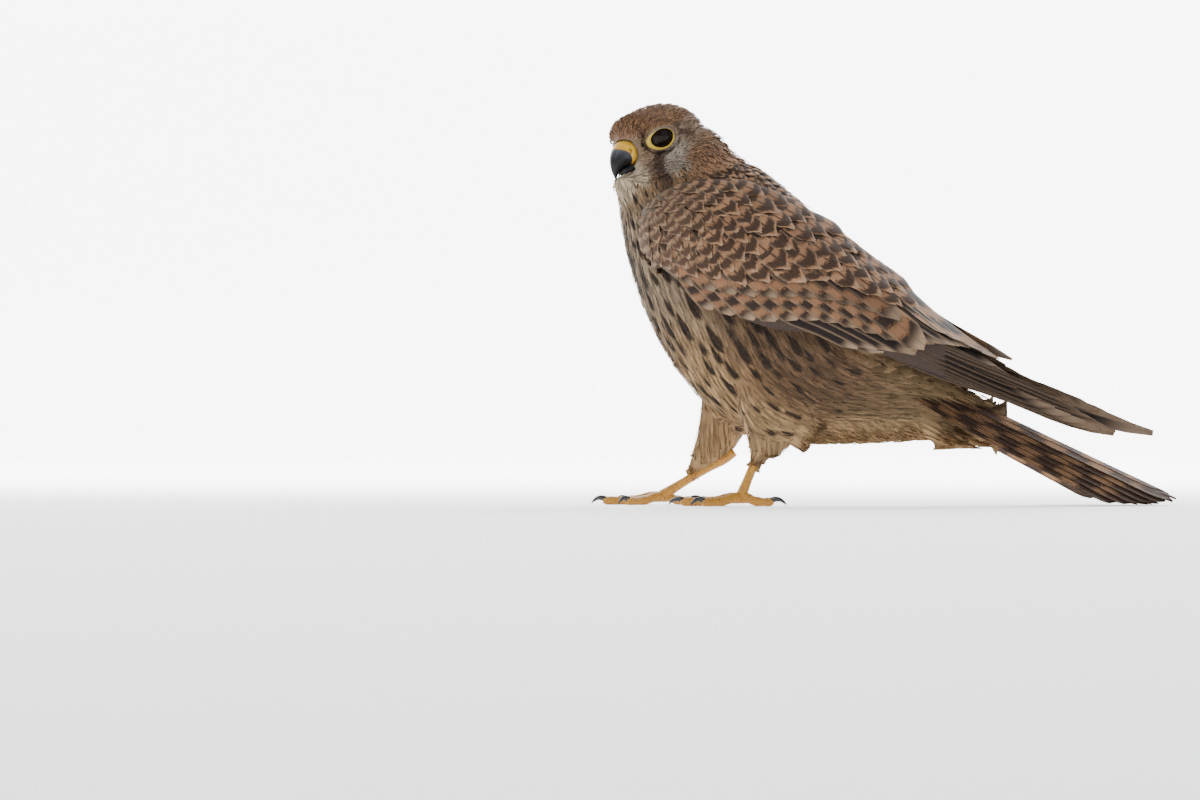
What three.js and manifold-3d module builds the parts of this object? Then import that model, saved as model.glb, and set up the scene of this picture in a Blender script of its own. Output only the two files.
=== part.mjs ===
// A life-size common kestrel, standing, as a still model in separate named pieces.
// Millimetres, +Z up. The bird faces -X and its left side faces -Y. Its toes and its tail tip rest on z = 0.
// Each piece is one closed solid, and neighbours keep a thin gap where they meet.

import * as THREE from "three";
import Module from "manifold-3d";

const wasm = await Module();
wasm.setup();

// Driving dimensions, from a female kestrel about 31 cm from bill tip to tail tip
const GAP = 0.3;
const MIDDLE_SHIFT = 2.7; // brings the middle of the whole length over the origin
const HEAD_PLACE = [-116.3, 0, 171.1]; // midway between the eyes
const HEAD_TURN = THREE.MathUtils.degToRad(43); // towards the bird's left
const HEAD_DIP = THREE.MathUtils.degToRad(25); // bill below level
const EYE_RADIUS = 7.3;
const EYE_CENTRE = [-1.3, 9.4, 0]; // forward, left and up from the middle of the head
const EYE_TURN = THREE.MathUtils.degToRad(30); // the eye looks this far forward of sideways
const LID_OPENING = [5.3, 4.5];
const LID_RIM = [7.7, 6.7];
const VANE_THICKNESS = 0.5;
const LAYER = 1.2; // from one feather to the next that lies over it
const TAIL_LENGTH = 144; // beyond the coverts
const TAIL_SLOPE = THREE.MathUtils.degToRad(25.3);
const TAIL_ROOF = 0.5; // fall of the tail's sides for each mm outward
const TAIL_BASE = [3.3, 64.1]; // x and z where the tail leaves the body
const TOE_LENGTHS = { inner: 19, middle: 27, outer: 20, hind: 14.5 };
const TOE_TURNS = { inner: 30, middle: 2, outer: -32, hind: 172 }; // degrees from straight ahead
const CLAW_REACH = { inner: 7.6, middle: 7.4, outer: 6.6, hind: 8 };
const LEFT_FOOT = { heel: [-58, -21, 37.5], hub: [-71.5, -20, 4.4], turn: -6 };
const RIGHT_FOOT = { heel: [-75, 19, 24], hub: [-107, 20, 4.4], turn: 4 };
const NEAR_TIP = 106; // x of the left wing's tip
const FAR_TIP = 127; // x of the right wing's tip

// Body sections from the nape to the rump: back x z, front or belly x z, half width, sideways shift
const TRUNK_SECTIONS = [
  [-96, 177, -120, 161, 14, 7],
  [-83, 175.5, -127, 149, 20.5, 5],
  [-72, 163.5, -128, 137, 24.5, 2.5],
  [-58, 155, -126.5, 125, 29.5, 1],
  [-42, 141.5, -123, 110, 34, 0],
  [-24, 126, -116.5, 90, 36, 0],
  [-12, 109, -104.5, 67, 36, 0],
  [-5, 93, -88, 47, 34, 0],
  [0, 83, -62, 31.5, 30, 0],
  [6, 73, -28, 31, 23, 0],
  [13, 67, 2, 32.5, 15.5, 0],
  [24, 61, 18, 33.5, 11.5, 0],
  [36, 53.5, 34, 34.5, 7.5, 0],
];
// Head sections from bill to nape: forward, half width, crown height, chin depth
const HEAD_SECTIONS = [
  [14.8, 5.6, 3.6, -8.6],
  [13.4, 9.2, 7.2, -10.6],
  [10.4, 12.6, 10.4, -13],
  [6, 15.2, 12.2, -15],
  [1, 17.4, 12.9, -16.8],
  [-6, 19.2, 12.9, -18.6],
  [-14, 20.3, 12, -19.6],
  [-21, 18.6, 9.2, -18.6],
  [-26, 14.5, 4.8, -15.2],
  [-29, 8, -1, -9.6],
];
// Upper bill: ridge forward up, cutting edge forward up, half width
const UPPER_BILL = [
  [7.5, 1.8, 7, -7.6, 5.2],
  [13.2, 3.3, 12, -7.8, 5.8],
  [17.2, 2.7, 15.4, -7.8, 5],
  [20.4, 0.8, 18.2, -7.8, 3.9],
  [22.9, -2.2, 20, -8, 2.8],
  [24.3, -5.8, 21.6, -8.8, 1.8],
  [24.6, -8.8, 23.2, -10.4, 0.8],
];
const BILL_TIP = [24.3, -11.8];
const LOWER_BILL = [
  [6, -8.9, 6, -10.9, 4.8],
  [12, -8.5, 12, -11.6, 4.7],
  [16.6, -8.4, 16.2, -11.3, 3.4],
  [18.9, -8.6, 18.5, -10.8, 2.3],
];
const LOWER_TIP = [20, -9.5];
const CERE_EDGE = 17; // forward of the eyes, where yellow cere meets horn
// Folded wing sheet: x, lower edge z, upper edge z, then y at the lower edge, middle and upper edge
const WING_SHEET = [
  [-121, 122, 133, -18, -21, -21],
  [-108.3, 108.8, 144, -30, -34.5, -25],
  [-89.7, 93.9, 150, -36, -42, -24],
  [-61.8, 81, 147, -38, -44.5, -22],
  [-33.9, 77, 132, -36.5, -42, -18],
  [-6, 68.4, 112, -30, -35, -11],
  [21.9, 58.5, 87, -20, -25, -5.5],
  [49.8, 49.5, 67, -13.5, -17.5, -4],
  [77.7, 38.5, 53, -8.5, -12.5, -3.5],
  [105.6, 30.5, 38, -6, -9, -3.5],
  [127, 26, 30, -4, -6, -3],
];
const WING_CORE = { from: -119, to: 22, thickness: 4.6 };

// Feather rows of one wing, lowest layer first. root and tip give x and height share of the row's first and last
// feather, and lift is the height over the sheet.
const WING_ROWS = [
  { count: 6, root: [[-30, 0.1], [-14, 0.42]], tip: [[99, 0.08], [47, 0.86]], width: [4.6, 6], lift: -1.6, curl: 1.6 },
  { count: 5, root: [[-62, 0.2], [-34, 0.6]], tip: [[-4, 0.1], [32, 0.82]], width: [7, 7.6], lift: 0.3, curl: 0 },
  { count: 3, root: [[-48, 0.72], [-34, 0.9]], tip: [[28, 0.78], [48, 0.97]], width: [7, 8], lift: 2, curl: 0 },
  { count: 6, root: [[-105, 0.3], [-36, 0.6]], tip: [[-82, 0.0], [10, 0.36]], width: [8, 8.5], lift: 2.6, curl: 0 },
  { count: 5, root: [[-110, 0.5], [-48, 0.76]], tip: [[-86, 0.24], [-16, 0.58]], width: [9, 9], lift: 4.6, curl: 0 },
  { count: 4, root: [[-86, 0.86], [-46, 0.94]], tip: [[-58, 0.62], [14, 0.84]], width: [9, 9], lift: 6, curl: 0 },
];

const COLOURS = {
  rufous: 0x9c6b48,
  buff: 0xb59a78,
  brown: 0x54453c,
  head: 0x94785f,
  yellow: 0xd9a323,
  horn: 0x2f2f38,
  eye: 0x0e0a09,
};

// Geometry helpers

const vector = (x, y, z) => new THREE.Vector3(x, y, z);
const mix = (a, b, share) => a + (b - a) * share;
const mixRow = (a, b, share) => a.map((value, i) => mix(value, b[i], share));
const smooth = (value) => {
  const t = Math.min(1, Math.max(0, value));
  return t * t * (3 - 2 * t);
};

// A closed solid from shared points and triangles, whichever way round the triangles run.
function solidOf(points, faces) {
  const build = (turned) =>
    new wasm.Manifold(
      new wasm.Mesh({
        numProp: 3,
        vertProperties: new Float32Array(points.flatMap((p) => p.toArray())),
        triVerts: new Uint32Array(faces.flatMap(([a, b, c]) => (turned ? [a, c, b] : [a, b, c]))),
      }),
    );
  const made = build(false);
  return made.volume() < 0 ? build(true) : made;
}

// Joins rings of points into a closed skin. A ring of one point is a tip, and an open end gets a flat fan.
function loft(rings) {
  const points = [];
  const faces = [];
  const starts = rings.map((ring) => points.push(...ring) - ring.length);
  for (let i = 1; i < rings.length; i++) {
    const [from, to] = [rings[i - 1].length, rings[i].length];
    const sides = Math.max(from, to);
    for (let k = 0; k < sides; k++) {
      const next = (k + 1) % sides;
      const [a1, a2] = from > 1 ? [starts[i - 1] + k, starts[i - 1] + next] : [starts[i - 1], starts[i - 1]];
      const [b1, b2] = to > 1 ? [starts[i] + k, starts[i] + next] : [starts[i], starts[i]];
      if (a1 !== a2) faces.push([a1, a2, b2]);
      if (b1 !== b2) faces.push([a1, b2, b1]);
    }
  }
  const cap = (index, turned) => {
    const ring = rings[index];
    if (ring.length === 1) return;
    const centre = ring.reduce((sum, p) => sum.add(p), vector(0, 0, 0)).divideScalar(ring.length);
    const middle = points.push(centre) - 1;
    ring.forEach((p, k) => {
      const [a, b] = [starts[index] + k, starts[index] + ((k + 1) % ring.length)];
      faces.push(turned ? [middle, b, a] : [middle, a, b]);
    });
  };
  cap(0, true);
  cap(rings.length - 1, false);
  return solidOf(points, faces);
}

// The rows of a table, read smoothly at a share of the way from the first to the last.
function rowAt(rows, share) {
  const place = Math.min(rows.length - 1, Math.max(0, share * (rows.length - 1)));
  const i = Math.min(rows.length - 2, Math.floor(place));
  const t = place - i;
  const [a, b, c, d] = [-1, 0, 1, 2].map((step) => rows[Math.min(rows.length - 1, Math.max(0, i + step))]);
  return b.map((value, n) => {
    const [start, end] = [(c[n] - a[n]) / 2, (d[n] - b[n]) / 2];
    const [t2, t3] = [t * t, t * t * t];
    return (2 * t3 - 3 * t2 + 1) * value + (t3 - 2 * t2 + t) * start + (3 * t2 - 2 * t3) * c[n] + (t3 - t2) * end;
  });
}

// An oval of points round a centre, between an up and a side direction that already have their lengths.
function oval(centre, up, side, sides, power = 2) {
  return Array.from({ length: sides }, (unused, k) => {
    const angle = (2 * Math.PI * k) / sides;
    const [c, s] = [Math.cos(angle), Math.sin(angle)];
    const squared = (value) => Math.sign(value) * Math.abs(value) ** (2 / power);
    return centre.clone().addScaledVector(up, squared(c)).addScaledVector(side, squared(s));
  });
}

// A tube along a path of [x, y, z, height radius, side radius].
function tube(rows, steps, sides, grow = 0) {
  const at = (share) => vector(...rowAt(rows, share));
  const rings = Array.from({ length: steps + 1 }, (unused, i) => {
    const share = i / steps;
    const row = rowAt(rows, share);
    const along = at(Math.min(1, share + 0.01)).sub(at(Math.max(0, share - 0.01))).normalize();
    const side = Math.abs(along.y) > 0.9 ? vector(1, 0, 0) : vector(0, 1, 0);
    side.addScaledVector(along, -side.dot(along)).normalize();
    const up = vector(0, 0, 0).crossVectors(along, side);
    const centre = vector(...row);
    return oval(centre, up.multiplyScalar(row[3] + grow), side.multiplyScalar(row[4] + grow), sides);
  });
  return loft(rings);
}

function ball(centre, radius, rings, sides) {
  const made = [[centre.clone().add(vector(0, 0, -radius))]];
  for (let i = 1; i < rings; i++) {
    const angle = (Math.PI * i) / rings - Math.PI / 2;
    const middle = centre.clone().add(vector(0, 0, radius * Math.sin(angle)));
    const reach = radius * Math.cos(angle);
    made.push(oval(middle, vector(reach, 0, 0), vector(0, reach, 0), sides));
  }
  made.push([centre.clone().add(vector(0, 0, radius))]);
  return loft(made);
}

function block(low, high) {
  const corner = (x, y, z) => vector(x, y, z);
  const ring = (z) => [
    corner(low[0], low[1], z),
    corner(high[0], low[1], z),
    corner(high[0], high[1], z),
    corner(low[0], high[1], z),
  ];
  return loft([ring(low[2]), ring(high[2])]);
}

const joined = (solids) => solids.reduce((all, one) => all.add(one));
const cutBy = (solid, tools) => tools.reduce((left, tool) => left.subtract(tool), solid);
const FLOOR = block([-300, -200, -60], [300, 200, 0]);

// A flat curved feather. place(along, across, height) gives its points, with along from 0 at the root to 1 at the
// tip and across from -1 to 1. Both faces are split into triangles alike.
function vane(place, lengthwise, across = 2) {
  const points = [];
  const faces = [];
  const width = across + 1;
  for (let i = 0; i <= lengthwise; i++) {
    const along = i / lengthwise;
    for (const height of [0.5, -0.5]) {
      for (let j = 0; j <= across; j++) points.push(place(along, (2 * j) / across - 1, height));
    }
  }
  const id = (i, face, j) => (i * 2 + face) * width + j;
  const quad = (a, b, c, d) => faces.push([a, b, c], [a, c, d]);
  for (let i = 0; i < lengthwise; i++) {
    for (let j = 0; j < across; j++) {
      quad(id(i, 0, j), id(i + 1, 0, j), id(i + 1, 0, j + 1), id(i, 0, j + 1));
      faces.push([id(i, 1, j), id(i + 1, 1, j + 1), id(i + 1, 1, j)], [id(i, 1, j), id(i, 1, j + 1), id(i + 1, 1, j + 1)]);
    }
    quad(id(i, 1, 0), id(i + 1, 1, 0), id(i + 1, 0, 0), id(i, 0, 0));
    quad(id(i, 0, across), id(i + 1, 0, across), id(i + 1, 1, across), id(i, 1, across));
  }
  for (let j = 0; j < across; j++) {
    quad(id(0, 0, j), id(0, 0, j + 1), id(0, 1, j + 1), id(0, 1, j));
    quad(id(lengthwise, 1, j), id(lengthwise, 1, j + 1), id(lengthwise, 0, j + 1), id(lengthwise, 0, j));
  }
  return solidOf(points, faces);
}

// How wide a feather is at a share of its length: narrow root, full blade, rounded tip.
function bladeWidth(along, tipStart = 0.72, rootWidth = 0.45) {
  const blade = mix(rootWidth, 1, smooth(along / 0.4));
  if (along < tipStart) return blade;
  const past = (along - tipStart) / (1 - tipStart);
  return blade * Math.sqrt(Math.max(0.03, 1 - past * past * 0.97));
}
// Steps along a feather crowd towards its rounded tip.
const towardsTip = (along) => 1 - (1 - along) ** 1.35;

// Trunk: neck and torso

function trunkRings(grow, from, to, steps, sides) {
  return Array.from({ length: steps + 1 }, (unused, i) => {
    const row = rowAt(TRUNK_SECTIONS, mix(from, to, i / steps));
    const [back, belly] = [vector(row[0], row[5], row[1]), vector(row[2], row[5], row[3])];
    const centre = back.clone().add(belly).divideScalar(2);
    const up = back.clone().sub(belly).divideScalar(2);
    up.setLength(up.length() + grow);
    return oval(centre, up, vector(0, row[4] + grow, 0), sides, 2.15);
  });
}
const NECK_END = 0.185; // share of the trunk sections
const neckSolid = (grow) => loft(trunkRings(grow, 0, NECK_END + (grow ? 0.006 : 0), 5, 24));
const torsoSolid = (grow) => loft(trunkRings(grow, NECK_END + 0.006, 1, 15, 24));
const trunkClearance = () => joined([neckSolid(GAP), torsoSolid(GAP)]);

// Head, in its own frame: x forward, y left, z up

const BUMPS = [
  { at: [3.5, 14.4, 7.4], reach: 4.6, rise: 1.7 }, // brow
  { at: [-4, 15.5, 8.6], reach: 5, rise: 1.1 },
  { at: [10, 8.6, -2.4], reach: 3.6, rise: -1.1 }, // lores
  { at: [-5, 18.5, -8], reach: 7.5, rise: 0.8 }, // cheek
];
function headPoint(point) {
  const side = Math.sign(point.y) || 1;
  const outward = vector(0, point.y, point.z + 2).normalize();
  for (const bump of BUMPS) {
    const far = point.distanceTo(vector(bump.at[0], bump.at[1] * side, bump.at[2])) / bump.reach;
    point.addScaledVector(outward, bump.rise * Math.exp(-far * far));
  }
  return point;
}
function headRings(grow, steps = 15, sides = 22) {
  const rings = Array.from({ length: steps + 1 }, (unused, i) => {
    const [forward, half, top, bottom] = rowAt(HEAD_SECTIONS, i / steps);
    const middle = mix(bottom, top, 0.46);
    return Array.from({ length: sides }, (none, k) => {
      const angle = (2 * Math.PI * k) / sides;
      const [c, s] = [Math.cos(angle), Math.sin(angle)];
      const height = (c > 0 ? top - middle : middle - bottom) + grow;
      return headPoint(vector(forward, (half + grow) * Math.sign(s) * Math.abs(s) ** 0.92, middle + height * c));
    });
  });
  rings.unshift([vector(HEAD_SECTIONS[0][0] + 0.8 + grow, 0, -3)]);
  rings.push([vector(HEAD_SECTIONS.at(-1)[0] - 1.4 - grow, 0, -5)]);
  return rings;
}
const headMatrix = (() => {
  const [ct, st, cd, sd] = [Math.cos(HEAD_TURN), Math.sin(HEAD_TURN), Math.cos(HEAD_DIP), Math.sin(HEAD_DIP)];
  const forward = vector(-ct * cd, -st * cd, -sd);
  const left = vector(st, -ct, 0);
  const up = vector(-ct * sd, -st * sd, cd);
  return new THREE.Matrix4().makeBasis(forward, left, up).setPosition(...HEAD_PLACE);
})();
const inWorld = (rings) => rings.map((ring) => ring.map((p) => p.clone().applyMatrix4(headMatrix)));

function billRings(rows, tip, grow) {
  const steps = (rows.length - 1) * 2;
  const rings = Array.from({ length: steps + 1 }, (unused, i) => {
    const [topX, topZ, edgeX, edgeZ, half] = rowAt(rows, i / steps);
    const [top, edge] = [vector(topX, 0, topZ), vector(edgeX, 0, edgeZ)];
    const up = top.clone().sub(edge).divideScalar(2);
    up.setLength(up.length() + grow);
    return oval(top.add(edge).divideScalar(2), up, vector(0, half + grow, 0), 16, 2.3);
  });
  rings.push([vector(tip[0] + grow, 0, tip[1] - grow)]);
  return rings;
}

// One side's eye frame: the middle of the eyeball and the directions across, up and out.
function eyeFrame(side) {
  const out = vector(Math.sin(EYE_TURN), side * Math.cos(EYE_TURN), -0.06).normalize();
  const up = vector(0, 0, 1).addScaledVector(out, -out.z).normalize();
  const across = vector(0, 0, 0).crossVectors(up, out).multiplyScalar(side); // towards the nape
  return { centre: vector(EYE_CENTRE[0], side * EYE_CENTRE[1], EYE_CENTRE[2]), out, up, across };
}
const fromEye = ({ centre, out, up, across }, x, y, depth) =>
  centre.clone().addScaledVector(across, x).addScaledVector(up, y).addScaledVector(out, depth);
const RIM_FRONT = 1.2; // extra bare skin towards the bill

function rimRadius(angle, grow) {
  const front = Math.max(0, -Math.cos(angle)) ** 3;
  return [(LID_RIM[0] + RIM_FRONT * front + grow) * Math.cos(angle), (LID_RIM[1] + grow) * Math.sin(angle)];
}
function eyeSocket(side, grow) {
  const frame = eyeFrame(side);
  const ring = (depth, flare) =>
    Array.from({ length: 18 }, (unused, k) => {
      const [x, y] = rimRadius((2 * Math.PI * k) / 18, grow + flare);
      return fromEye(frame, x, y, depth);
    });
  return loft([ring(1.6 - grow, 0), ring(6.6, 0), ring(13, 3.2)]);
}
function lidRing(side) {
  const frame = eyeFrame(side);
  const clear = EYE_RADIUS + GAP + 0.15;
  const sides = 18;
  const points = [];
  for (let k = 0; k < sides; k++) {
    const angle = (2 * Math.PI * k) / sides;
    const inner = vector(LID_OPENING[0] * Math.cos(angle), LID_OPENING[1] * Math.sin(angle), 0);
    const [outerX, outerY] = rimRadius(angle, 0);
    const outer = vector(outerX, outerY, 0);
    const depthAt = (p) => Math.sqrt(Math.max(4, clear * clear - p.lengthSq()));
    const inside = depthAt(inner);
    const middle = inner.clone().lerp(outer, 0.45);
    const low = inner.clone().lerp(outer, 0.55);
    const profile = [
      [inner, inside],
      [inner.clone().lerp(outer, 0.12), inside + 0.85],
      [middle, inside + 0.45],
      [outer, inside - 1],
      [outer, inside - 3],
      [low, depthAt(low)],
    ];
    points.push(profile.map(([p, depth]) => fromEye(frame, p.x, p.y, depth)));
  }
  const faces = [];
  const count = points[0].length;
  for (let k = 0; k < sides; k++) {
    for (let j = 0; j < count; j++) {
      const [a, b] = [k * count + j, k * count + ((j + 1) % count)];
      const [c, d] = [((k + 1) % sides) * count + ((j + 1) % count), ((k + 1) % sides) * count + j];
      faces.push([a, b, c], [a, c, d]);
    }
  }
  return solidOf(points.flat(), faces);
}

function nostril(side) {
  const [inner, outer] = [vector(15.2, side * 2.6, -1.2), vector(15.6, side * 7, -1.2)];
  const ring = (p) => oval(p, vector(0, 0, 0.95), vector(1.15, 0, 0), 10);
  return loft([ring(inner), ring(outer)]);
}

function headPieces() {
  const upper = loft(billRings(UPPER_BILL, BILL_TIP, 0));
  const upperWide = loft(billRings(UPPER_BILL, BILL_TIP, GAP));
  const lower = loft(billRings(LOWER_BILL, LOWER_TIP, 0));
  const lowerWide = loft(billRings(LOWER_BILL, LOWER_TIP, GAP));
  const edge = CERE_EDGE;
  const behind = [
    [vector(edge - 1.6, -9, 6), vector(edge - 1.6, 9, 6), vector(edge - 3.4, 9, -14), vector(edge - 3.4, -9, -14)],
    [vector(-9, -9, 6), vector(-9, 9, 6), vector(-9, 9, -14), vector(-9, -9, -14)],
  ];
  const ahead = [
    behind[0].map((p) => p.clone().add(vector(GAP, 0, 0))),
    behind[0].map((p) => p.clone().add(vector(20, 0, 0))),
  ];
  const eyes = [1, -1].map((side) => eyeFrame(side).centre);
  const skull = cutBy(loft(headRings(0)), [
    upperWide,
    lowerWide,
    eyeSocket(1, GAP),
    eyeSocket(-1, GAP),
    ...eyes.map((centre) => ball(centre, EYE_RADIUS + GAP, 8, 14)),
  ]);
  return {
    head: skull,
    cere: cutBy(upper.intersect(loft(behind)), [nostril(1), nostril(-1)]),
    bill_upper: upper.intersect(loft(ahead)),
    bill_lower: lower.subtract(upperWide),
    lids_left: lidRing(1),
    lids_right: lidRing(-1),
    eye_left: ball(eyes[0], EYE_RADIUS, 9, 16),
    eye_right: ball(eyes[1], EYE_RADIUS, 9, 16),
  };
}

// Wings

// A point of the left wing's sheet: x along the bird, share from the lower to the upper edge.
function sheetRow(x) {
  const rows = WING_SHEET;
  const last = rows.length - 1;
  const i = Math.max(0, rows.findLastIndex((row, n) => n < last && row[0] <= x));
  const t = (x - rows[i][0]) / (rows[i + 1][0] - rows[i][0]);
  return rowAt(rows, (i + Math.min(1, Math.max(0, t))) / last);
}
function sheetPoint(x, share) {
  const [, lowZ, highZ, lowY, middleY, highY] = sheetRow(x);
  const bend = 2 * middleY - (lowY + highY) / 2;
  const rest = 1 - share;
  const y = rest * rest * lowY + 2 * rest * share * bend + share * share * highY;
  return vector(x, y, mix(lowZ, highZ, share));
}
function sheetFrame(x, share) {
  const point = sheetPoint(x, share);
  const along = sheetPoint(x + 0.5, share).sub(sheetPoint(x - 0.5, share)).normalize();
  const rise = sheetPoint(x, share + 0.02).sub(sheetPoint(x, share - 0.02)).normalize();
  const out = vector(0, 0, 0).crossVectors(along, rise).normalize();
  return { point, along, rise, out: out.y > 0 ? out.negate() : out };
}

function wingCore() {
  const { from, to, thickness } = WING_CORE;
  const steps = 9;
  const shares = [0.02, 0.2, 0.45, 0.72, 1];
  const rings = Array.from({ length: steps + 1 }, (unused, i) => {
    const x = mix(from, to, i / steps);
    const thin = Math.sin(Math.PI * Math.min(1, 0.12 + 0.88 * (i / steps)) ** 0.7) ** 0.5;
    const outer = shares.map((share) => {
      const frame = sheetFrame(x, share);
      const bulge = Math.sin(Math.PI * Math.min(1, share * 0.86 + 0.12)) * 1.6 * thin;
      return frame.point.addScaledVector(frame.out, bulge);
    });
    const inner = shares.map((share) => {
      const frame = sheetFrame(x, share);
      return frame.point.addScaledVector(frame.out, -Math.max(0.7, thickness * thin));
    });
    return [...outer, ...inner.reverse()];
  });
  return loft(rings);
}

// One feather on the wing sheet, from its root to its tip, both given as [x, share].
function wingFeather(root, tip, half, lift, curl, reach) {
  return vane((along, across, height) => {
    const run = towardsTip(along);
    const x = mix(root[0], tip[0], run);
    const share = mix(root[1], tip[1], run) - curl * 0.03 * Math.sin(Math.PI * run);
    const shown = x > 20 ? 20 + (x - 20) * reach : x;
    const { point, out } = sheetFrame(x, share);
    const ahead = sheetPoint(x + (tip[0] - root[0]) * 0.01, share + (tip[1] - root[1]) * 0.01);
    const forward = ahead.sub(point).normalize();
    const side = vector(0, 0, 0).crossVectors(out, forward).normalize(); // towards the back
    if (side.z < 0) side.negate();
    const rise = lift * smooth(run / 0.16) - 1.6 * (1 - smooth(run / 0.16));
    const tilt = -across * 0.5 * LAYER; // the lower edge lies over the next feather down
    const width = half * bladeWidth(run);
    point.addScaledVector(side, across * width);
    point.addScaledVector(out, rise + tilt + height * VANE_THICKNESS - 0.012 * (across * width) ** 2);
    point.x += shown - x;
    return point;
  }, 4, 1);
}

function leftWing(tipX) {
  const reach = (tipX - 20) / (WING_ROWS[0].tip[0][0] + 4 - 20);
  const pieces = [wingCore()];
  for (const row of WING_ROWS) {
    for (let i = 0; i < row.count; i++) {
      const share = i / (row.count - 1);
      const root = mixRow(row.root[0], row.root[1], share);
      const tip = mixRow(row.tip[0], row.tip[1], share);
      pieces.push(wingFeather(root, tip, mix(row.width[0], row.width[1], share), row.lift, row.curl, reach));
    }
  }
  return joined(pieces);
}
// The other side of the bird: the same points with y turned over.
function mirrored(solid) {
  const mesh = solid.getMesh();
  const points = [];
  for (let i = 0; i < mesh.numVert; i++) {
    const [x, y, z] = mesh.vertProperties.subarray(i * mesh.numProp, i * mesh.numProp + 3);
    points.push(vector(x, -y, z));
  }
  const faces = [];
  for (let i = 0; i < mesh.triVerts.length; i += 3) faces.push([...mesh.triVerts.subarray(i, i + 3)]);
  return solidOf(points, faces);
}

// Tail

function tailPoint(along, across, height) {
  const roof = TAIL_ROOF * (Math.sqrt(across * across + 36) - 6);
  const [c, s] = [Math.cos(TAIL_SLOPE), Math.sin(TAIL_SLOPE)];
  const up = height - roof;
  return vector(TAIL_BASE[0] + along * c + up * s, across, TAIL_BASE[1] - along * s + up * c);
}
function tailFeather(side, pair) {
  const length = TAIL_LENGTH - 2.2 * pair ** 1.5 - (side > 0 ? 2.5 : 0);
  const root = [-14, side * (0.8 + 0.9 * pair)];
  const tip = [length, side * (3.4 + 3.1 * pair)];
  const level = -pair * LAYER + (side > 0 ? 0.45 * LAYER : 0);
  return vane((along, across, height) => {
    const run = towardsTip(along);
    const width = 10.4 * bladeWidth(run, 0.84, 0.3);
    const middle = mix(root[1], tip[1], run);
    return tailPoint(mix(root[0], tip[0], run), middle + across * width, level + height * VANE_THICKNESS);
  }, 5, 2);
}
function tailRoot() {
  const rings = [-16, -8, 0, 9, 17].map((along, i) => {
    const half = [6, 9.5, 11, 11, 7][i];
    const thick = [2.5, 4, 4.4, 3.4, 1.2][i];
    return Array.from({ length: 14 }, (unused, k) => {
      const angle = (2 * Math.PI * k) / 14;
      return tailPoint(along, half * Math.sin(angle), -2.2 + thick * Math.cos(angle));
    });
  });
  return loft(rings);
}
function tailSolid() {
  const feathers = [];
  for (let pair = 0; pair < 6; pair++) {
    for (const side of [-1, 1]) feathers.push(tailFeather(side, pair));
  }
  return cutBy(joined([tailRoot(), ...feathers]), [torsoSolid(GAP), FLOOR]);
}

// Legs

const THIGHS = {
  left: [
    [-50, -17, 76, 19, 9],
    [-53, -21, 58, 21, 12],
    [-56, -22.5, 43, 18.5, 12],
    [-59.5, -22, 31, 12.5, 9],
    [-62.5, -21, 23, 5.6, 5],
  ],
  right: [
    [-68, 15, 70, 19, 9],
    [-73, 17, 52, 17, 11],
    [-78.5, 18.5, 38, 13, 9.5],
    [-84.5, 19.2, 27, 9, 7.4],
    [-91, 19.6, 19.5, 5.2, 4.8],
  ],
};
const thigh = (rows, grow = 0) => tube(rows, 10, 16, grow);

function shank({ heel, hub }, grow = 0) {
  const at = (share, front, side) => [...mixRow(heel, hub, share), front, side];
  const rows = [at(-0.06, 2.4, 2.2), at(0.12, 3.1, 2.6), at(0.35, 2.3, 2), at(0.7, 2.1, 1.9), at(1, 2.7, 2.5)];
  return tube(rows, 10, 10, grow);
}

// A toe's path on the ground from the hub, as distance ahead, height and radius.
function toeRows(length, hubHeight) {
  return [
    [-0.5, hubHeight - 0.6, 2.5],
    [length * 0.22, hubHeight - 0.5, 2.35],
    [length * 0.45, 2.5, 2.3],
    [length * 0.66, 2, 2.05],
    [length * 0.86, 1.9, 2.1],
    [length, 2, 1.7],
  ];
}
function alongToe(foot, toe, distance, height) {
  const turn = THREE.MathUtils.degToRad(TOE_TURNS[toe] * foot.side + foot.turn);
  return [foot.hub[0] - distance * Math.cos(turn), foot.hub[1] - distance * Math.sin(turn), height];
}
function toeSolid(foot, toe, grow) {
  const rows = toeRows(TOE_LENGTHS[toe], foot.hub[2]);
  const steps = 8;
  const pads = (share) => 1 + 0.06 * Math.cos(share * Math.PI * 6);
  const bumpy = Array.from({ length: steps + 1 }, (unused, i) => {
    const [distance, height, radius] = rowAt(rows, i / steps);
    const fat = radius * pads(i / steps) + grow;
    return [...alongToe(foot, toe, distance, height), fat, fat * 0.95];
  });
  const end = bumpy.at(-1);
  const tipPlace = alongToe(foot, toe, TOE_LENGTHS[toe] + 1.1 + grow, 1.9);
  const turn = THREE.MathUtils.degToRad(TOE_TURNS[toe] * foot.side + foot.turn);
  const side = vector(Math.sin(turn), -Math.cos(turn), 0);
  const rings = bumpy.map((row) => oval(vector(...row), vector(0, 0, row[3]), side.clone().multiplyScalar(row[4]), 8));
  rings.push([vector(tipPlace[0], tipPlace[1], end[2])]);
  return loft(rings);
}
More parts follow.
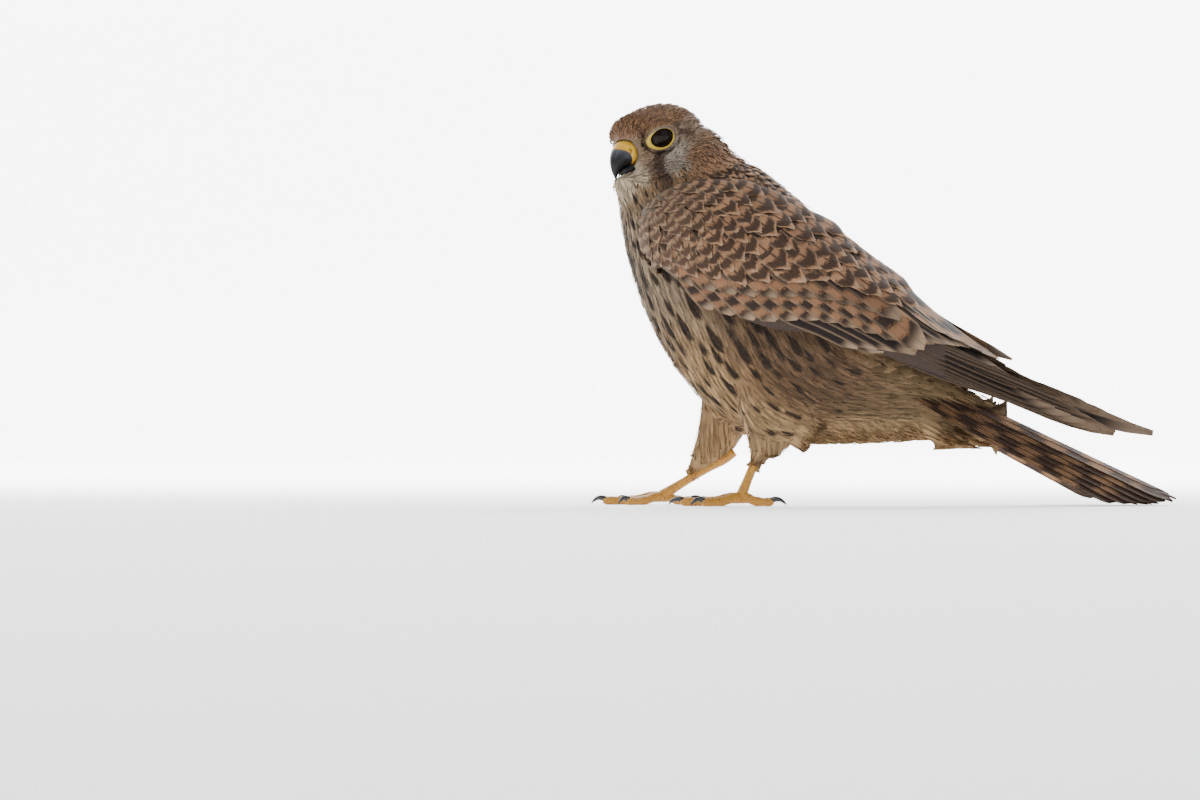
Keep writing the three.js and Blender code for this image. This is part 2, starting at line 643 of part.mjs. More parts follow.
function clawSolid(foot, toe) {
  const reach = CLAW_REACH[toe];
  const start = TOE_LENGTHS[toe] - 0.6;
  const rows = [
    [start, 2.4, 1.45, 1.15],
    [start + reach * 0.3, 3.3, 1.3, 0.95],
    [start + reach * 0.62, 3.1, 0.95, 0.7],
    [start + reach * 0.88, 1.7, 0.55, 0.42],
  ];
  const turn = THREE.MathUtils.degToRad(TOE_TURNS[toe] * foot.side + foot.turn);
  const side = vector(Math.sin(turn), -Math.cos(turn), 0);
  const forward = vector(-Math.cos(turn), -Math.sin(turn), 0);
  const steps = 4;
  const rings = Array.from({ length: steps + 1 }, (unused, i) => {
    const share = i / steps;
    const [distance, height, fat, wide] = rowAt(rows, share);
    const [nextDistance, nextHeight] = rowAt(rows, Math.min(1, share + 0.02));
    const [lastDistance, lastHeight] = rowAt(rows, Math.max(0, share - 0.02));
    const run = forward.clone().multiplyScalar(nextDistance - lastDistance);
    run.z = nextHeight - lastHeight;
    const up = vector(0, 0, 0).crossVectors(run.normalize(), side);
    const centre = vector(...alongToe(foot, toe, distance, height));
    return oval(centre, up.multiplyScalar(fat), side.clone().multiplyScalar(wide), 7);
  });
  rings.push([vector(...alongToe(foot, toe, start + reach, 0.35))]);
  return loft(rings);
}
function footSolid(foot, grow = 0) {
  const toes = Object.keys(TOE_LENGTHS).map((toe) => toeSolid(foot, toe, grow));
  return joined([ball(vector(foot.hub[0], foot.hub[1], foot.hub[2] - 0.8), 3.1 + grow, 5, 10), ...toes]);
}

function legPieces(name, foot, thighRows) {
  const pieces = {};
  const wideShank = shank(foot, GAP);
  const wideThigh = thigh(thighRows, GAP);
  pieces["thigh_" + name] = thigh(thighRows).subtract(trunkClearance());
  pieces["shank_" + name] = shank(foot).subtract(wideThigh);
  pieces["foot_" + name] = cutBy(footSolid(foot), [wideShank, wideThigh, FLOOR]);
  const wideFoot = footSolid(foot, GAP);
  for (const toe of Object.keys(TOE_LENGTHS)) {
    pieces[`claw_${name}_${toe}`] = cutBy(clawSolid(foot, toe), [wideFoot, FLOOR]);
  }
  return pieces;
}

// Assembly

function meshOf(name, solid, colour, roughness) {
  const bodies = solid.decompose();
  const largest = bodies.reduce((best, one) => (one.volume() > best.volume() ? one : best));
  const { numVert, numProp, vertProperties, triVerts } = largest.getMesh();
  const places = new Float32Array(numVert * 3);
  for (let i = 0; i < numVert; i++) {
    places.set(vertProperties.subarray(i * numProp, i * numProp + 3), i * 3);
  }
  const geometry = new THREE.BufferGeometry();
  geometry.setAttribute("position", new THREE.BufferAttribute(places, 3));
  geometry.setIndex(new THREE.BufferAttribute(triVerts, 1));
  geometry.computeVertexNormals();
  const mesh = new THREE.Mesh(geometry, new THREE.MeshStandardMaterial({ color: colour, roughness }));
  mesh.name = name;
  return mesh;
}

function headGroup() {
  const looks = {
    head: [COLOURS.head, 0.9],
    cere: [COLOURS.yellow, 0.5],
    bill_upper: [COLOURS.horn, 0.3],
    bill_lower: [COLOURS.horn, 0.35],
    lids_left: [COLOURS.yellow, 0.5],
    lids_right: [COLOURS.yellow, 0.5],
    eye_left: [COLOURS.eye, 0.05],
    eye_right: [COLOURS.eye, 0.05],
  };
  const group = new THREE.Group();
  for (const [name, solid] of Object.entries(headPieces())) group.add(meshOf(name, solid, ...looks[name]));
  group.applyMatrix4(headMatrix);
  return group;
}

function legGroup(name, foot, thighRows) {
  const group = new THREE.Group();
  for (const [piece, solid] of Object.entries(legPieces(name, foot, thighRows))) {
    const look = piece.startsWith("thigh") ? [COLOURS.buff, 0.9] : [COLOURS.yellow, 0.5];
    group.add(meshOf(piece, solid, ...(piece.startsWith("claw") ? [COLOURS.horn, 0.3] : look)));
  }
  return group;
}

function bodyGroup() {
  const headWide = joined([
    loft(inWorld(headRings(GAP))),
    loft(inWorld(billRings(UPPER_BILL, BILL_TIP, GAP))),
    loft(inWorld(billRings(LOWER_BILL, LOWER_TIP, GAP))),
  ]);
  const trunkWide = trunkClearance();
  const group = new THREE.Group();
  group.add(meshOf("neck", neckSolid(0).subtract(headWide), COLOURS.buff, 0.9));
  group.add(meshOf("torso", torsoSolid(0).subtract(headWide), COLOURS.buff, 0.9));
  group.add(meshOf("tail", tailSolid(), COLOURS.rufous, 0.7));
  group.add(meshOf("wing_left", leftWing(NEAR_TIP).subtract(trunkWide), COLOURS.brown, 0.7));
  group.add(meshOf("wing_right", mirrored(leftWing(FAR_TIP)).subtract(trunkWide), COLOURS.brown, 0.7));
  return group;
}

const bird = new THREE.Group();
bird.position.x = MIDDLE_SHIFT;
bird.add(headGroup());
bird.add(bodyGroup());
bird.add(legGroup("left", { ...LEFT_FOOT, side: 1 }, THIGHS.left));
bird.add(legGroup("right", { ...RIGHT_FOOT, side: -1 }, THIGHS.right));

export default bird;
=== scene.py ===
# %% [markdown]
# # A common kestrel at rest
# The bird stands with folded wings and looks to its left. The frame gives the place and size of every
# part, and this script makes the surface: skin, plumage, bare skin, horn and eyes. A live kestrel has
# about three thousand feathers. They could be cards with a picture on them, but a picture has one fixed
# light, so here each feather is its own small blade, laid along the body and coloured by a rule.

# %% Modules and the frame
import itertools
import math

import bmesh
import bpy
import numpy as np
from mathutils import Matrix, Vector
from mathutils.bvhtree import BVHTree


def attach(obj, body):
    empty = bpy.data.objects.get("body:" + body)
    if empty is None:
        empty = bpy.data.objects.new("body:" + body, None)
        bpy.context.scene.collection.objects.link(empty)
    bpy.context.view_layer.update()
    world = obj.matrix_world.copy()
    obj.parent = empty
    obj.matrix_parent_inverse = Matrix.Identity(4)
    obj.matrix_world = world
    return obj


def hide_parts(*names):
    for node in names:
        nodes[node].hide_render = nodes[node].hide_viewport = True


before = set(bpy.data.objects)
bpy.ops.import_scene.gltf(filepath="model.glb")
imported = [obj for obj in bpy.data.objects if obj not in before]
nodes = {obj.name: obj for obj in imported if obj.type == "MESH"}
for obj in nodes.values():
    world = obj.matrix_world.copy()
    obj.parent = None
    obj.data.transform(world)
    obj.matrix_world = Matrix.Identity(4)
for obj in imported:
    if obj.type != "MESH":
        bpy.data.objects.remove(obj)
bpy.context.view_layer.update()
rng = np.random.default_rng(7)
print("nodes", len(nodes))

# %% Driving sizes, in millimetres until the meshes are made
MM = 0.001
MIDDLE = np.array([2.7, 0.0, 0.0])
COAT = 1.6  # depth of the body plumage over the skin
HEAD_PLACE = np.array([-116.3, 0, 171.1]) + MIDDLE
HEAD_TURN = math.radians(43)
HEAD_DIP = math.radians(25)
EYE_RADIUS = 7.2
EYE_CENTRE = (-1.3, 9.4, 0)
EYE_TURN = math.radians(30)
LID_OPENING = (5.4, 4.3)
LID_RIM = (7.7, 6.7)
TAIL_LENGTH = 144
TAIL_SLOPE = math.radians(25.3)
TAIL_BASE = (3.3 + MIDDLE[0], 64.1)
TAIL_ROOF = 0.5
NEAR_TIP = 106
FAR_TIP = 127
TOE_LENGTHS = {"inner": 19, "middle": 27, "outer": 20, "hind": 14.5}
TOE_TURNS = {"inner": 30, "middle": 2, "outer": -32, "hind": 172}
CLAW_REACH = {"inner": 7.6, "middle": 7.4, "outer": 6.6, "hind": 8}
FEET = {
    "left": {"heel": (-58, -21, 37.5), "hub": (-71.5, -20, 4.4), "turn": -6, "side": 1},
    "right": {"heel": (-75, 19, 24), "hub": (-107, 20, 4.4), "turn": 4, "side": -1},
}
# Folded wing sheet: x, lower edge z, upper edge z, then y at the lower edge, middle and upper edge
WING_SHEET = np.array([
    (-121, 122, 133, -18, -21, -21),
    (-108.3, 108.8, 144, -30, -34.5, -25),
    (-89.7, 93.9, 150, -36, -42, -24),
    (-61.8, 81, 147, -38, -44.5, -22),
    (-33.9, 77, 132, -36.5, -42, -18),
    (-6, 68.4, 112, -30, -35, -11),
    (21.9, 58.5, 87, -20, -25, -5.5),
    (49.8, 49.5, 67, -13.5, -17.5, -4),
    (77.7, 38.5, 53, -8.5, -12.5, -3.5),
    (105.6, 30.5, 38, -6, -9, -3.5),
    (127, 26, 30, -4, -6, -3),
])
# Upper and lower bill: ridge forward up, cutting edge forward up, half width
UPPER_BILL = np.array([
    (7.5, 1.8, 7, -7.6, 5.2),
    (13.2, 3.3, 12, -7.8, 5.8),
    (17.2, 2.7, 15.4, -7.8, 5),
    (20.4, 0.8, 18.2, -7.8, 3.9),
    (22.9, -2.2, 20, -8, 2.8),
    (24.3, -5.8, 21.6, -8.8, 1.8),
    (24.6, -8.8, 23.2, -10.4, 0.8),
    (24.3, -11.6, 24.1, -11.8, 0.12),
])
LOWER_BILL = np.array([
    (6, -8.1, 6, -10.9, 5),
    (12, -7.5, 12, -11.6, 5.2),
    (16.9, -7.2, 16.5, -11.4, 4.1),
    (19.6, -7.6, 19.2, -11.1, 2.9),
    (21.2, -8.8, 21, -10.3, 0.9),
])
print("wing sheet rows", len(WING_SHEET), "bill rows", len(UPPER_BILL), len(LOWER_BILL))

# %% [markdown]
# ## Small tools
# Smooth tables, closed tubes and sheets of feathers are all grids of points, so a few functions make
# them all.

# %% Smooth tables and directions
def ease(value):
    t = np.clip(value, 0, 1)
    return t * t * (3 - 2 * t)


def blend(a, b, share):
    return np.asarray(a) * (1 - share) + np.asarray(b) * share


def smooth_rows(rows, place):
    """Reads a table between its rows, place counting rows from 0."""
    last = len(rows) - 1
    place = np.clip(np.asarray(place, float), 0, last)
    i = np.minimum(place.astype(int), last - 1)
    t = (place - i)[..., None]
    before, start, end, after = (rows[np.clip(i + step, 0, last)] for step in (-1, 0, 1, 2))
    leave = (end - before) / 2
    arrive = (after - start) / 2
    curve = (2 * t**3 - 3 * t**2 + 1) * start + (t**3 - 2 * t**2 + t) * leave
    return curve + (3 * t**2 - 2 * t**3) * end + (t**3 - t**2) * arrive


def unit(vectors):
    return vectors / np.maximum(np.linalg.norm(vectors, axis=-1, keepdims=True), 1e-9)


def square_to(vectors, axes):
    """Unit vectors without their part along the axes."""
    return unit(vectors - axes * np.sum(vectors * axes, 1, keepdims=True))


print("a table read halfway", smooth_rows(UPPER_BILL, 0.5).round(2))

# %% Meshes from grids of points
def grid_quads(rows, columns, closed=False):
    """Corner numbers of the quads of one grid of points, row after row."""
    turns = columns if closed else columns - 1
    i, j = np.meshgrid(np.arange(rows - 1), np.arange(turns), indexing="ij")
    following = (j + 1) % columns
    here, below = i * columns, (i + 1) * columns
    corners = (here + j, here + following, below + following, below + j)
    return np.stack(corners, -1).reshape(-1, 4)


def copied(quads, count, points):
    """The same quads for each of many grids with this many points."""
    return (quads[None] + (np.arange(count) * points)[:, None, None]).reshape(-1, 4)


def mesh_piece(name, points, quads, material, maps=None, tints=None):
    """A smooth mesh in metres. maps are UV maps by point, tints are colour attributes by point."""
    mesh = bpy.data.meshes.new(name)
    points = np.ascontiguousarray(points.reshape(-1, 3) * MM, np.float32)
    mesh.vertices.add(len(points))
    mesh.vertices.foreach_set("co", points.ravel())
    mesh.loops.add(quads.size)
    mesh.loops.foreach_set("vertex_index", quads.ravel().astype(np.int32))
    mesh.polygons.add(len(quads))
    mesh.polygons.foreach_set("loop_start", np.arange(0, quads.size, quads.shape[1], dtype=np.int32))
    mesh.update(calc_edges=True)
    for label, values in (maps or {}).items():
        layer = mesh.uv_layers.new(name=label)
        layer.data.foreach_set("uv", np.ascontiguousarray(values[quads.ravel()], np.float32).ravel())
    for label, values in (tints or {}).items():
        layer = mesh.attributes.new(label, "FLOAT_COLOR", "POINT")
        four = np.ones((len(points), 4), np.float32)
        four[:, : values.shape[-1]] = values
        layer.data.foreach_set("color", four.ravel())
    mesh.validate()
    mesh.shade_smooth()
    mesh.materials.append(material)
    piece = bpy.data.objects.new(name, mesh)
    bpy.context.scene.collection.objects.link(piece)
    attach(piece, "root")
    return piece


def closed_tube(name, rings, material, tints=None):
    """Rings of points joined into a closed surface, with each end drawn to its middle."""
    rings = np.concatenate([
        np.repeat(rings[:1].mean(1, keepdims=True), rings.shape[1], 1),
        rings,
        np.repeat(rings[-1:].mean(1, keepdims=True), rings.shape[1], 1),
    ])
    quads = grid_quads(rings.shape[0], rings.shape[1], closed=True)
    piece = mesh_piece(name, rings, quads, material, tints=tints)
    mesh = bmesh.new()
    mesh.from_mesh(piece.data)
    bmesh.ops.remove_doubles(mesh, verts=mesh.verts, dist=1e-6)
    bmesh.ops.recalc_face_normals(mesh, faces=mesh.faces)
    mesh.to_mesh(piece.data)
    mesh.free()
    return piece


def ovals(centres, ups, sides, count, power=2.0):
    angle = 2 * np.pi * np.arange(count) / count
    high = np.sign(np.cos(angle)) * np.abs(np.cos(angle)) ** (2 / power)
    wide = np.sign(np.sin(angle)) * np.abs(np.sin(angle)) ** (2 / power)
    return centres[:, None] + ups[:, None] * high[None, :, None] + sides[:, None] * wide[None, :, None]


print("quads of a small closed grid", len(grid_quads(3, 4, closed=True)))

# %% Places in the head's own frame: forward, left, up
turn_cos, turn_sin = math.cos(HEAD_TURN), math.sin(HEAD_TURN)
dip_cos, dip_sin = math.cos(HEAD_DIP), math.sin(HEAD_DIP)
HEAD_AXES = np.array([
    (-turn_cos * dip_cos, -turn_sin * dip_cos, -dip_sin),
    (turn_sin, -turn_cos, 0),
    (-turn_cos * dip_sin, -turn_sin * dip_sin, dip_cos),
])


def from_head(points):
    return np.asarray(points) @ HEAD_AXES + HEAD_PLACE


def to_head(points):
    return (points - HEAD_PLACE) @ HEAD_AXES.T


print("the head faces", np.round(HEAD_AXES[0], 2))

# %% [markdown]
# ## Materials
# Every feather carries its own colours and its own kind of marking, and one material draws them: a dark
# streak down the shaft, bars across the blade and a pale or frayed edge. The barbs are fine slanted
# lines in the bump.

# %% Node helpers
def new_material(name):
    material = bpy.data.materials.new(name)
    material.use_nodes = True
    return material, material.node_tree, material.node_tree.nodes["Principled BSDF"]


def connect(tree, source, socket):
    if hasattr(source, "is_output"):
        tree.links.new(source, socket)
    else:
        socket.default_value = source


def calc(tree, operation, first, second=0.0, third=0.0):
    node = tree.nodes.new("ShaderNodeMath")
    node.operation = operation
    for socket, source in zip(node.inputs, (first, second, third)):
        connect(tree, source, socket)
    return node.outputs[0]


def ramp(tree, value, low, high, start=0.0, end=1.0):
    node = tree.nodes.new("ShaderNodeMapRange")
    node.interpolation_type = "SMOOTHSTEP"
    sources = {"Value": value, "From Min": low, "From Max": high, "To Min": start, "To Max": end}
    for label, source in sources.items():
        connect(tree, source, node.inputs[label])
    return node.outputs["Result"]


def mix_colours(tree, share, first, second):
    node = tree.nodes.new("ShaderNodeMix")
    node.data_type = "RGBA"
    connect(tree, share, node.inputs[0])
    connect(tree, first, node.inputs[6])
    connect(tree, second, node.inputs[7])
    return node.outputs[2]


def noise(tree, vector, scale, detail=2.0):
    node = tree.nodes.new("ShaderNodeTexNoise")
    node.inputs["Scale"].default_value = scale
    node.inputs["Detail"].default_value = detail
    tree.links.new(vector, node.inputs["Vector"])
    return node.outputs["Fac"]


def bump(tree, height, strength, distance, target):
    node = tree.nodes.new("ShaderNodeBump")
    node.inputs["Strength"].default_value = strength
    node.inputs["Distance"].default_value = distance
    tree.links.new(height, node.inputs["Height"])
    tree.links.new(node.outputs["Normal"], target.inputs["Normal"])


def object_place(tree):
    return tree.nodes.new("ShaderNodeTexCoord").outputs["Object"]


def tint(tree, label):
    node = tree.nodes.new("ShaderNodeAttribute")
    node.attribute_name = label
    return node


print("node helpers ready")

# %% The feathers and the down under them
def feather_material():
    material, tree, surface = new_material("feather")
    place = tree.nodes.new("ShaderNodeUVMap")
    place.uv_map = "Vane"
    parts = tree.nodes.new("ShaderNodeSeparateXYZ")
    tree.links.new(place.outputs[0], parts.inputs[0])
    across = calc(tree, "ABSOLUTE", calc(tree, "MULTIPLY_ADD", parts.outputs[0], 2, -1))
    along = parts.outputs[1]
    marks = tint(tree, "marks")
    kinds = tree.nodes.new("ShaderNodeSeparateColor")
    tree.links.new(marks.outputs["Color"], kinds.inputs[0])
    streak, bars, fringe = kinds.outputs[0], kinds.outputs[1], kinds.outputs[2]
    seed = marks.outputs["Alpha"]

    cloud = noise(tree, object_place(tree), 900)
    wobble = calc(tree, "MULTIPLY_ADD", cloud, 0.3, -0.15)
    drop = calc(tree, "MULTIPLY", ramp(tree, along, 0.1, 0.72), ramp(tree, along, 0.8, 0.97, 1, 0))
    width = calc(tree, "MULTIPLY", streak, calc(tree, "ADD", drop, wobble))
    streaked = ramp(tree, calc(tree, "SUBTRACT", width, across), -0.06, 0.1)
    rows = calc(tree, "MULTIPLY", bars, 10)
    bend = calc(tree, "MULTIPLY_ADD", across, 0.2, calc(tree, "MULTIPLY", wobble, 1.4))
    wave = calc(tree, "FRACT", calc(tree, "ADD", calc(tree, "MULTIPLY_ADD", along, rows, bend), seed))
    crest = calc(tree, "ABSOLUTE", calc(tree, "MULTIPLY_ADD", wave, 2, -1))
    barred = calc(tree, "MULTIPLY", ramp(tree, crest, 0.22, 0.66), ramp(tree, bars, 0.01, 0.08))
    marked = calc(tree, "MAXIMUM", streaked, barred)
    edge = calc(tree, "MAXIMUM", ramp(tree, along, 0.84, 0.97), ramp(tree, across, 0.72, 1.0, 0, 0.6))
    edge = calc(tree, "MULTIPLY", edge, fringe)
    shaft = calc(tree, "MULTIPLY", ramp(tree, across, 0.02, 0.06, 1, 0), 0.35)

    slant = calc(tree, "MULTIPLY_ADD", across, -7, calc(tree, "MULTIPLY", along, 22))
    barb_place = tree.nodes.new("ShaderNodeCombineXYZ")
    barb_parts = (slant, calc(tree, "MULTIPLY", across, 0.6), calc(tree, "MULTIPLY", seed, 60))
    for socket, source in zip(barb_place.inputs, barb_parts):
        tree.links.new(source, socket)
    barbs = noise(tree, barb_place.outputs[0], 3.2, 3)
    ground, mark, rim = (tint(tree, label).outputs["Color"] for label in ("ground", "mark", "rim"))
    colour = mix_colours(tree, marked, ground, mark)
    colour = mix_colours(tree, edge, colour, rim)
    colour = mix_colours(tree, shaft, colour, (0.05, 0.035, 0.025, 1))
    shade = tree.nodes.new("ShaderNodeHueSaturation")
    connect(tree, calc(tree, "MULTIPLY_ADD", barbs, 0.7, 0.65), shade.inputs["Value"])
    connect(tree, colour, shade.inputs["Color"])
    tree.links.new(shade.outputs[0], surface.inputs["Base Color"])
    surface.inputs["Roughness"].default_value = 0.72
    surface.inputs["Specular IOR Level"].default_value = 0.12
    bump(tree, barbs, 0.5, 0.0002, surface)
    return material


def skin_material():
    material, tree, surface = new_material("under_down")
    fluff = noise(tree, object_place(tree), 1500, 4)
    shade = tree.nodes.new("ShaderNodeHueSaturation")
    connect(tree, calc(tree, "MULTIPLY_ADD", fluff, 0.7, 0.4), shade.inputs["Value"])
    connect(tree, tint(tree, "ground").outputs["Color"], shade.inputs["Color"])
    tree.links.new(shade.outputs[0], surface.inputs["Base Color"])
    surface.inputs["Roughness"].default_value = 0.9
    bump(tree, fluff, 0.6, 0.0006, surface)
    return material


FEATHER = feather_material()
UNDER_DOWN = skin_material()
print("feather nodes", len(FEATHER.node_tree.nodes))


# %% Plain surfaces and scaly skin
def plain_material(name, colour, roughness, grain=0.0, scale=600, coat=0.0, second=None, shine=0.5):
    material, tree, surface = new_material(name)
    cells = noise(tree, object_place(tree), scale, 3)
    shown = mix_colours(tree, ramp(tree, cells, 0.35, 0.65), (*colour, 1), (*(second or colour), 1))
    tree.links.new(shown, surface.inputs["Base Color"])
    surface.inputs["Roughness"].default_value = roughness
    surface.inputs["Coat Weight"].default_value = coat
    surface.inputs["Specular IOR Level"].default_value = shine
    if grain:
        bump(tree, cells, grain, 0.0004, surface)
    return material


def scaly_material():
    """Yellow skin of the legs in small plates."""
    material, tree, surface = new_material("scaly_skin")
    cells = tree.nodes.new("ShaderNodeTexVoronoi")
    cells.feature = "DISTANCE_TO_EDGE"
    cells.inputs["Scale"].default_value = 1100
    tree.links.new(object_place(tree), cells.inputs["Vector"])
    plate = ramp(tree, cells.outputs["Distance"], 0.0, 0.16)
    patch = noise(tree, object_place(tree), 180, 3)
    body = mix_colours(tree, patch, (0.48, 0.19, 0.008, 1), (0.56, 0.28, 0.02, 1))
    tree.links.new(mix_colours(tree, plate, (0.20, 0.085, 0.008, 1), body), surface.inputs["Base Color"])
    surface.inputs["Roughness"].default_value = 0.42
    bump(tree, plate, 0.5, 0.0003, surface)
    return material


SCALY = scaly_material()
print("scaly skin nodes", len(SCALY.node_tree.nodes))


# %% Horn, cere, lids and eyes
def bill_material():
    """Blue grey at the base, black towards the tip, by the distance forward on the bill, with a painted
    highlight along the top.
    """
    material, tree, surface = new_material("bill_horn")
    grain = noise(tree, object_place(tree), 420, 3)
    forward = tint(tree, "forward").outputs["Fac"]
    dark = ramp(tree, calc(tree, "MULTIPLY_ADD", grain, 0.12, forward), 0.27, 0.5)
    horn = mix_colours(tree, dark, (0.045, 0.048, 0.062, 1), (0.004, 0.0035, 0.004, 1))
    shown = mix_colours(tree, ramp(tree, forward, 0.2, 0.26, 1, 0), horn, (0.55, 0.30, 0.02, 1))
    tree.links.new(shown, surface.inputs["Base Color"])
    surface.inputs["Roughness"].default_value = 0.42
    surface.inputs["Specular IOR Level"].default_value = 0.3
    bump(tree, grain, 0.12, 0.0003, surface)
    return material


BILL = bill_material()
CERE = plain_material("cere_skin", (0.55, 0.29, 0.015), 0.45, 0.25, 900, second=(0.68, 0.42, 0.04))


def lid_material():
    """Bare yellow skin beside the eye, and dark down further out."""
    material, tree, surface = new_material("lid_skin")
    cells = noise(tree, object_place(tree), 1300, 3)
    bare = mix_colours(tree, cells, (0.42, 0.27, 0.012, 1), (0.60, 0.42, 0.04, 1))
    shown = mix_colours(tree, tint(tree, "feathered").outputs["Fac"], bare, (0.13, 0.095, 0.065, 1))
    tree.links.new(shown, surface.inputs["Base Color"])
    surface.inputs["Roughness"].default_value = 0.5
    bump(tree, cells, 0.4, 0.0004, surface)
    return material


LIDS = lid_material()
CLAW = plain_material("claw_horn", (0.012, 0.011, 0.011), 0.25, 0.05, 500, second=(0.03, 0.027, 0.025))
EYE = plain_material("eye_glass", (0.008, 0.004, 0.0025), 0.06, 0.0, 200, shine=0.12)
print("materials", len(bpy.data.materials))

# %% [markdown]
# ## Skin
# The flesh parts of the frame are joined, remeshed into one surface and drawn in by the depth of the
# coat, so no seam shows where they met. It could be sculpted again from sections, but the frame already
# holds its form.

# %% One skin from the flesh nodes
FLESH = ["head", "neck", "torso", "thigh_left", "thigh_right"]


def copy_of(names):
    mesh = bmesh.new()
    for name in names:
        mesh.from_mesh(nodes[name].data)
    bmesh.ops.remove_doubles(mesh, verts=mesh.verts, dist=1e-6)
    data = bpy.data.meshes.new("skin")
    mesh.to_mesh(data)
    mesh.free()
    piece = bpy.data.objects.new("skin", data)
    bpy.context.scene.collection.objects.link(piece)
    return piece


def applied(piece):
    graph = bpy.context.evaluated_depsgraph_get()
    piece.modifiers.foreach_set("show_viewport", [True] * len(piece.modifiers))
    made = bpy.data.meshes.new_from_object(piece.evaluated_get(graph))
    piece.modifiers.clear()
    piece.data = made
    return piece


def make_skin():
    piece = copy_of(FLESH)
    remesh = piece.modifiers.new("one surface", "REMESH")
    remesh.mode = "VOXEL"
    remesh.voxel_size = 1.1 * MM
    soften = piece.modifiers.new("soften", "SMOOTH")
    soften.factor = 0.6
    soften.iterations = 14
    draw_in = piece.modifiers.new("draw in", "DISPLACE")
    draw_in.strength = -COAT * MM
    draw_in.mid_level = 0
    applied(piece)
    fill_out(piece)
    piece.data.shade_smooth()
    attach(piece, "root")
    return piece


# Fuller parts in the head's frame: place, reach and how far each stands out
FULLER = [
    ((12, 0, -13), 12, (5.5, 0, -1.5)),
    ((18, 0, -17), 13, (5.0, 0, 2.0)),
    ((19, 0, -14), 8, (2.5, 0, 2.0)),
    ((17, 0, 6), 9, (1.6, 0, -0.6)),
]


def points_of(piece):
    points = np.empty(len(piece.data.vertices) * 3, np.float32)
    piece.data.vertices.foreach_get("co", points)
    return points.reshape(-1, 3) / MM


def fill_out(piece):
    """Moves the skin out a little under the thick coat of the chin and the forehead."""
    head = to_head(points_of(piece))
    for centre, reach, push in FULLER:
        near = ease(1 - np.linalg.norm(head - centre, axis=1) / reach)
        head = head + near[:, None] * push
    piece.data.vertices.foreach_set("co", (from_head(head) * MM).astype(np.float32).ravel())
    piece.data.update()


skin = make_skin()
skin_points = points_of(skin)
skin_tree = BVHTree.FromPolygons(skin_points.tolist(), [tuple(p.vertices) for p in skin.data.polygons])
print("skin points", len(skin_points))

# %% [markdown]
# ## Colours of the coat
# A place on the body is known by how far it is along the trunk and how far round from belly to back,
# and on the head by the head's own frame. The same rule colours the skin and the feathers over it.

# %% Where a point is on the body

# Trunk sections from nape to rump: back x and z, front x and z, half width, shift to the side
TRUNK_SECTIONS = np.array([
    (-96, 177, -120, 161, 14, 7),
    (-83, 175.5, -127, 149, 20.5, 5),
    (-72, 163.5, -128, 137, 24.5, 2.5),
    (-58, 155, -126.5, 125, 29.5, 1),
    (-42, 141.5, -123, 110, 34, 0),
    (-24, 126, -116.5, 90, 36, 0),
    (-12, 109, -104.5, 67, 36, 0),
    (-5, 93, -88, 47, 34, 0),
    (0, 83, -62, 31.5, 30, 0),
    (6, 73, -28, 31, 23, 0),
    (13, 67, 2, 32.5, 15.5, 0),
    (24, 61, 18, 33.5, 11.5, 0),
    (36, 53.5, 34, 34.5, 7.5, 0),
])
SECTION_STEPS = 150
sections = smooth_rows(TRUNK_SECTIONS, np.linspace(0, len(TRUNK_SECTIONS) - 1, SECTION_STEPS))
BACK_LINE = np.stack([sections[:, 0], sections[:, 5], sections[:, 1]], 1) + MIDDLE
FRONT_LINE = np.stack([sections[:, 2], sections[:, 5], sections[:, 3]], 1) + MIDDLE
TRUNK_LINE = (BACK_LINE + FRONT_LINE) / 2
TRUNK_RISE = (BACK_LINE - FRONT_LINE) / 2


def trunk_place(points):
    """Share along the trunk from nape to rump, and -1 at the belly line to 1 at the back line."""
    offset = points[:, None] - TRUNK_LINE[None]
    reach = np.sum(TRUNK_RISE**2, -1)
    high = np.einsum("nsk,sk->ns", offset, TRUNK_RISE) / reach
    sideways = np.linalg.norm(offset - high[..., None] * TRUNK_RISE[None] - offset * (0, 1, 0), axis=-1)
    index = np.argmin(sideways, 1)
    return index / (SECTION_STEPS - 1), high[np.arange(len(points)), index]


def zone(value, low, high, soft=1.0):
    """1 between low and high, fading over a soft edge."""
    return ease((value - low) / soft + 0.5) * ease((high - value) / soft + 0.5)


def region_of(points):
    """Head place, shares of head and thigh, share along the trunk, height on it and its section."""
    head = to_head(points)
    on_head = ease((head[:, 0] + 27) / 8) * (np.linalg.norm(head - (-6, 0, -2), axis=1) < 30)
    low = (points[:, 2] < 60) & (points[:, 0] < -34 + MIDDLE[0]) & (np.abs(points[:, 1]) > 8)
    along, high = trunk_place(points)
    section = np.round(along * (SECTION_STEPS - 1)).astype(int)
    on_thigh = (low & (high < -1.02)) | (points[:, 2] < 29)
    return head, on_head, on_thigh, along, high, section


def head_share(points):
    return region_of(points)[1]


def one_side(head):
    """Places of the head's right half turned over to the left."""
    return head * (1, 0, 1) + np.abs(head) * (0, 1, 0)


def spot(head, centre, reach):
    """1 near a place of the head and its mirror image, 0 beyond the reach."""
    return ease((reach - np.linalg.norm(one_side(head) - centre, axis=1)) / 4 + 0.5)


def line(head, first, last, reach):
    """1 near a line on the head and its mirror image."""
    place = one_side(head)
    way = np.subtract(last, first)
    share = np.clip((place - first) @ way / (way @ way), 0, 1)[:, None]
    return ease((reach - np.linalg.norm(place - first - share * way, axis=1)) / 2 + 0.5)


print("trunk sections", len(sections))

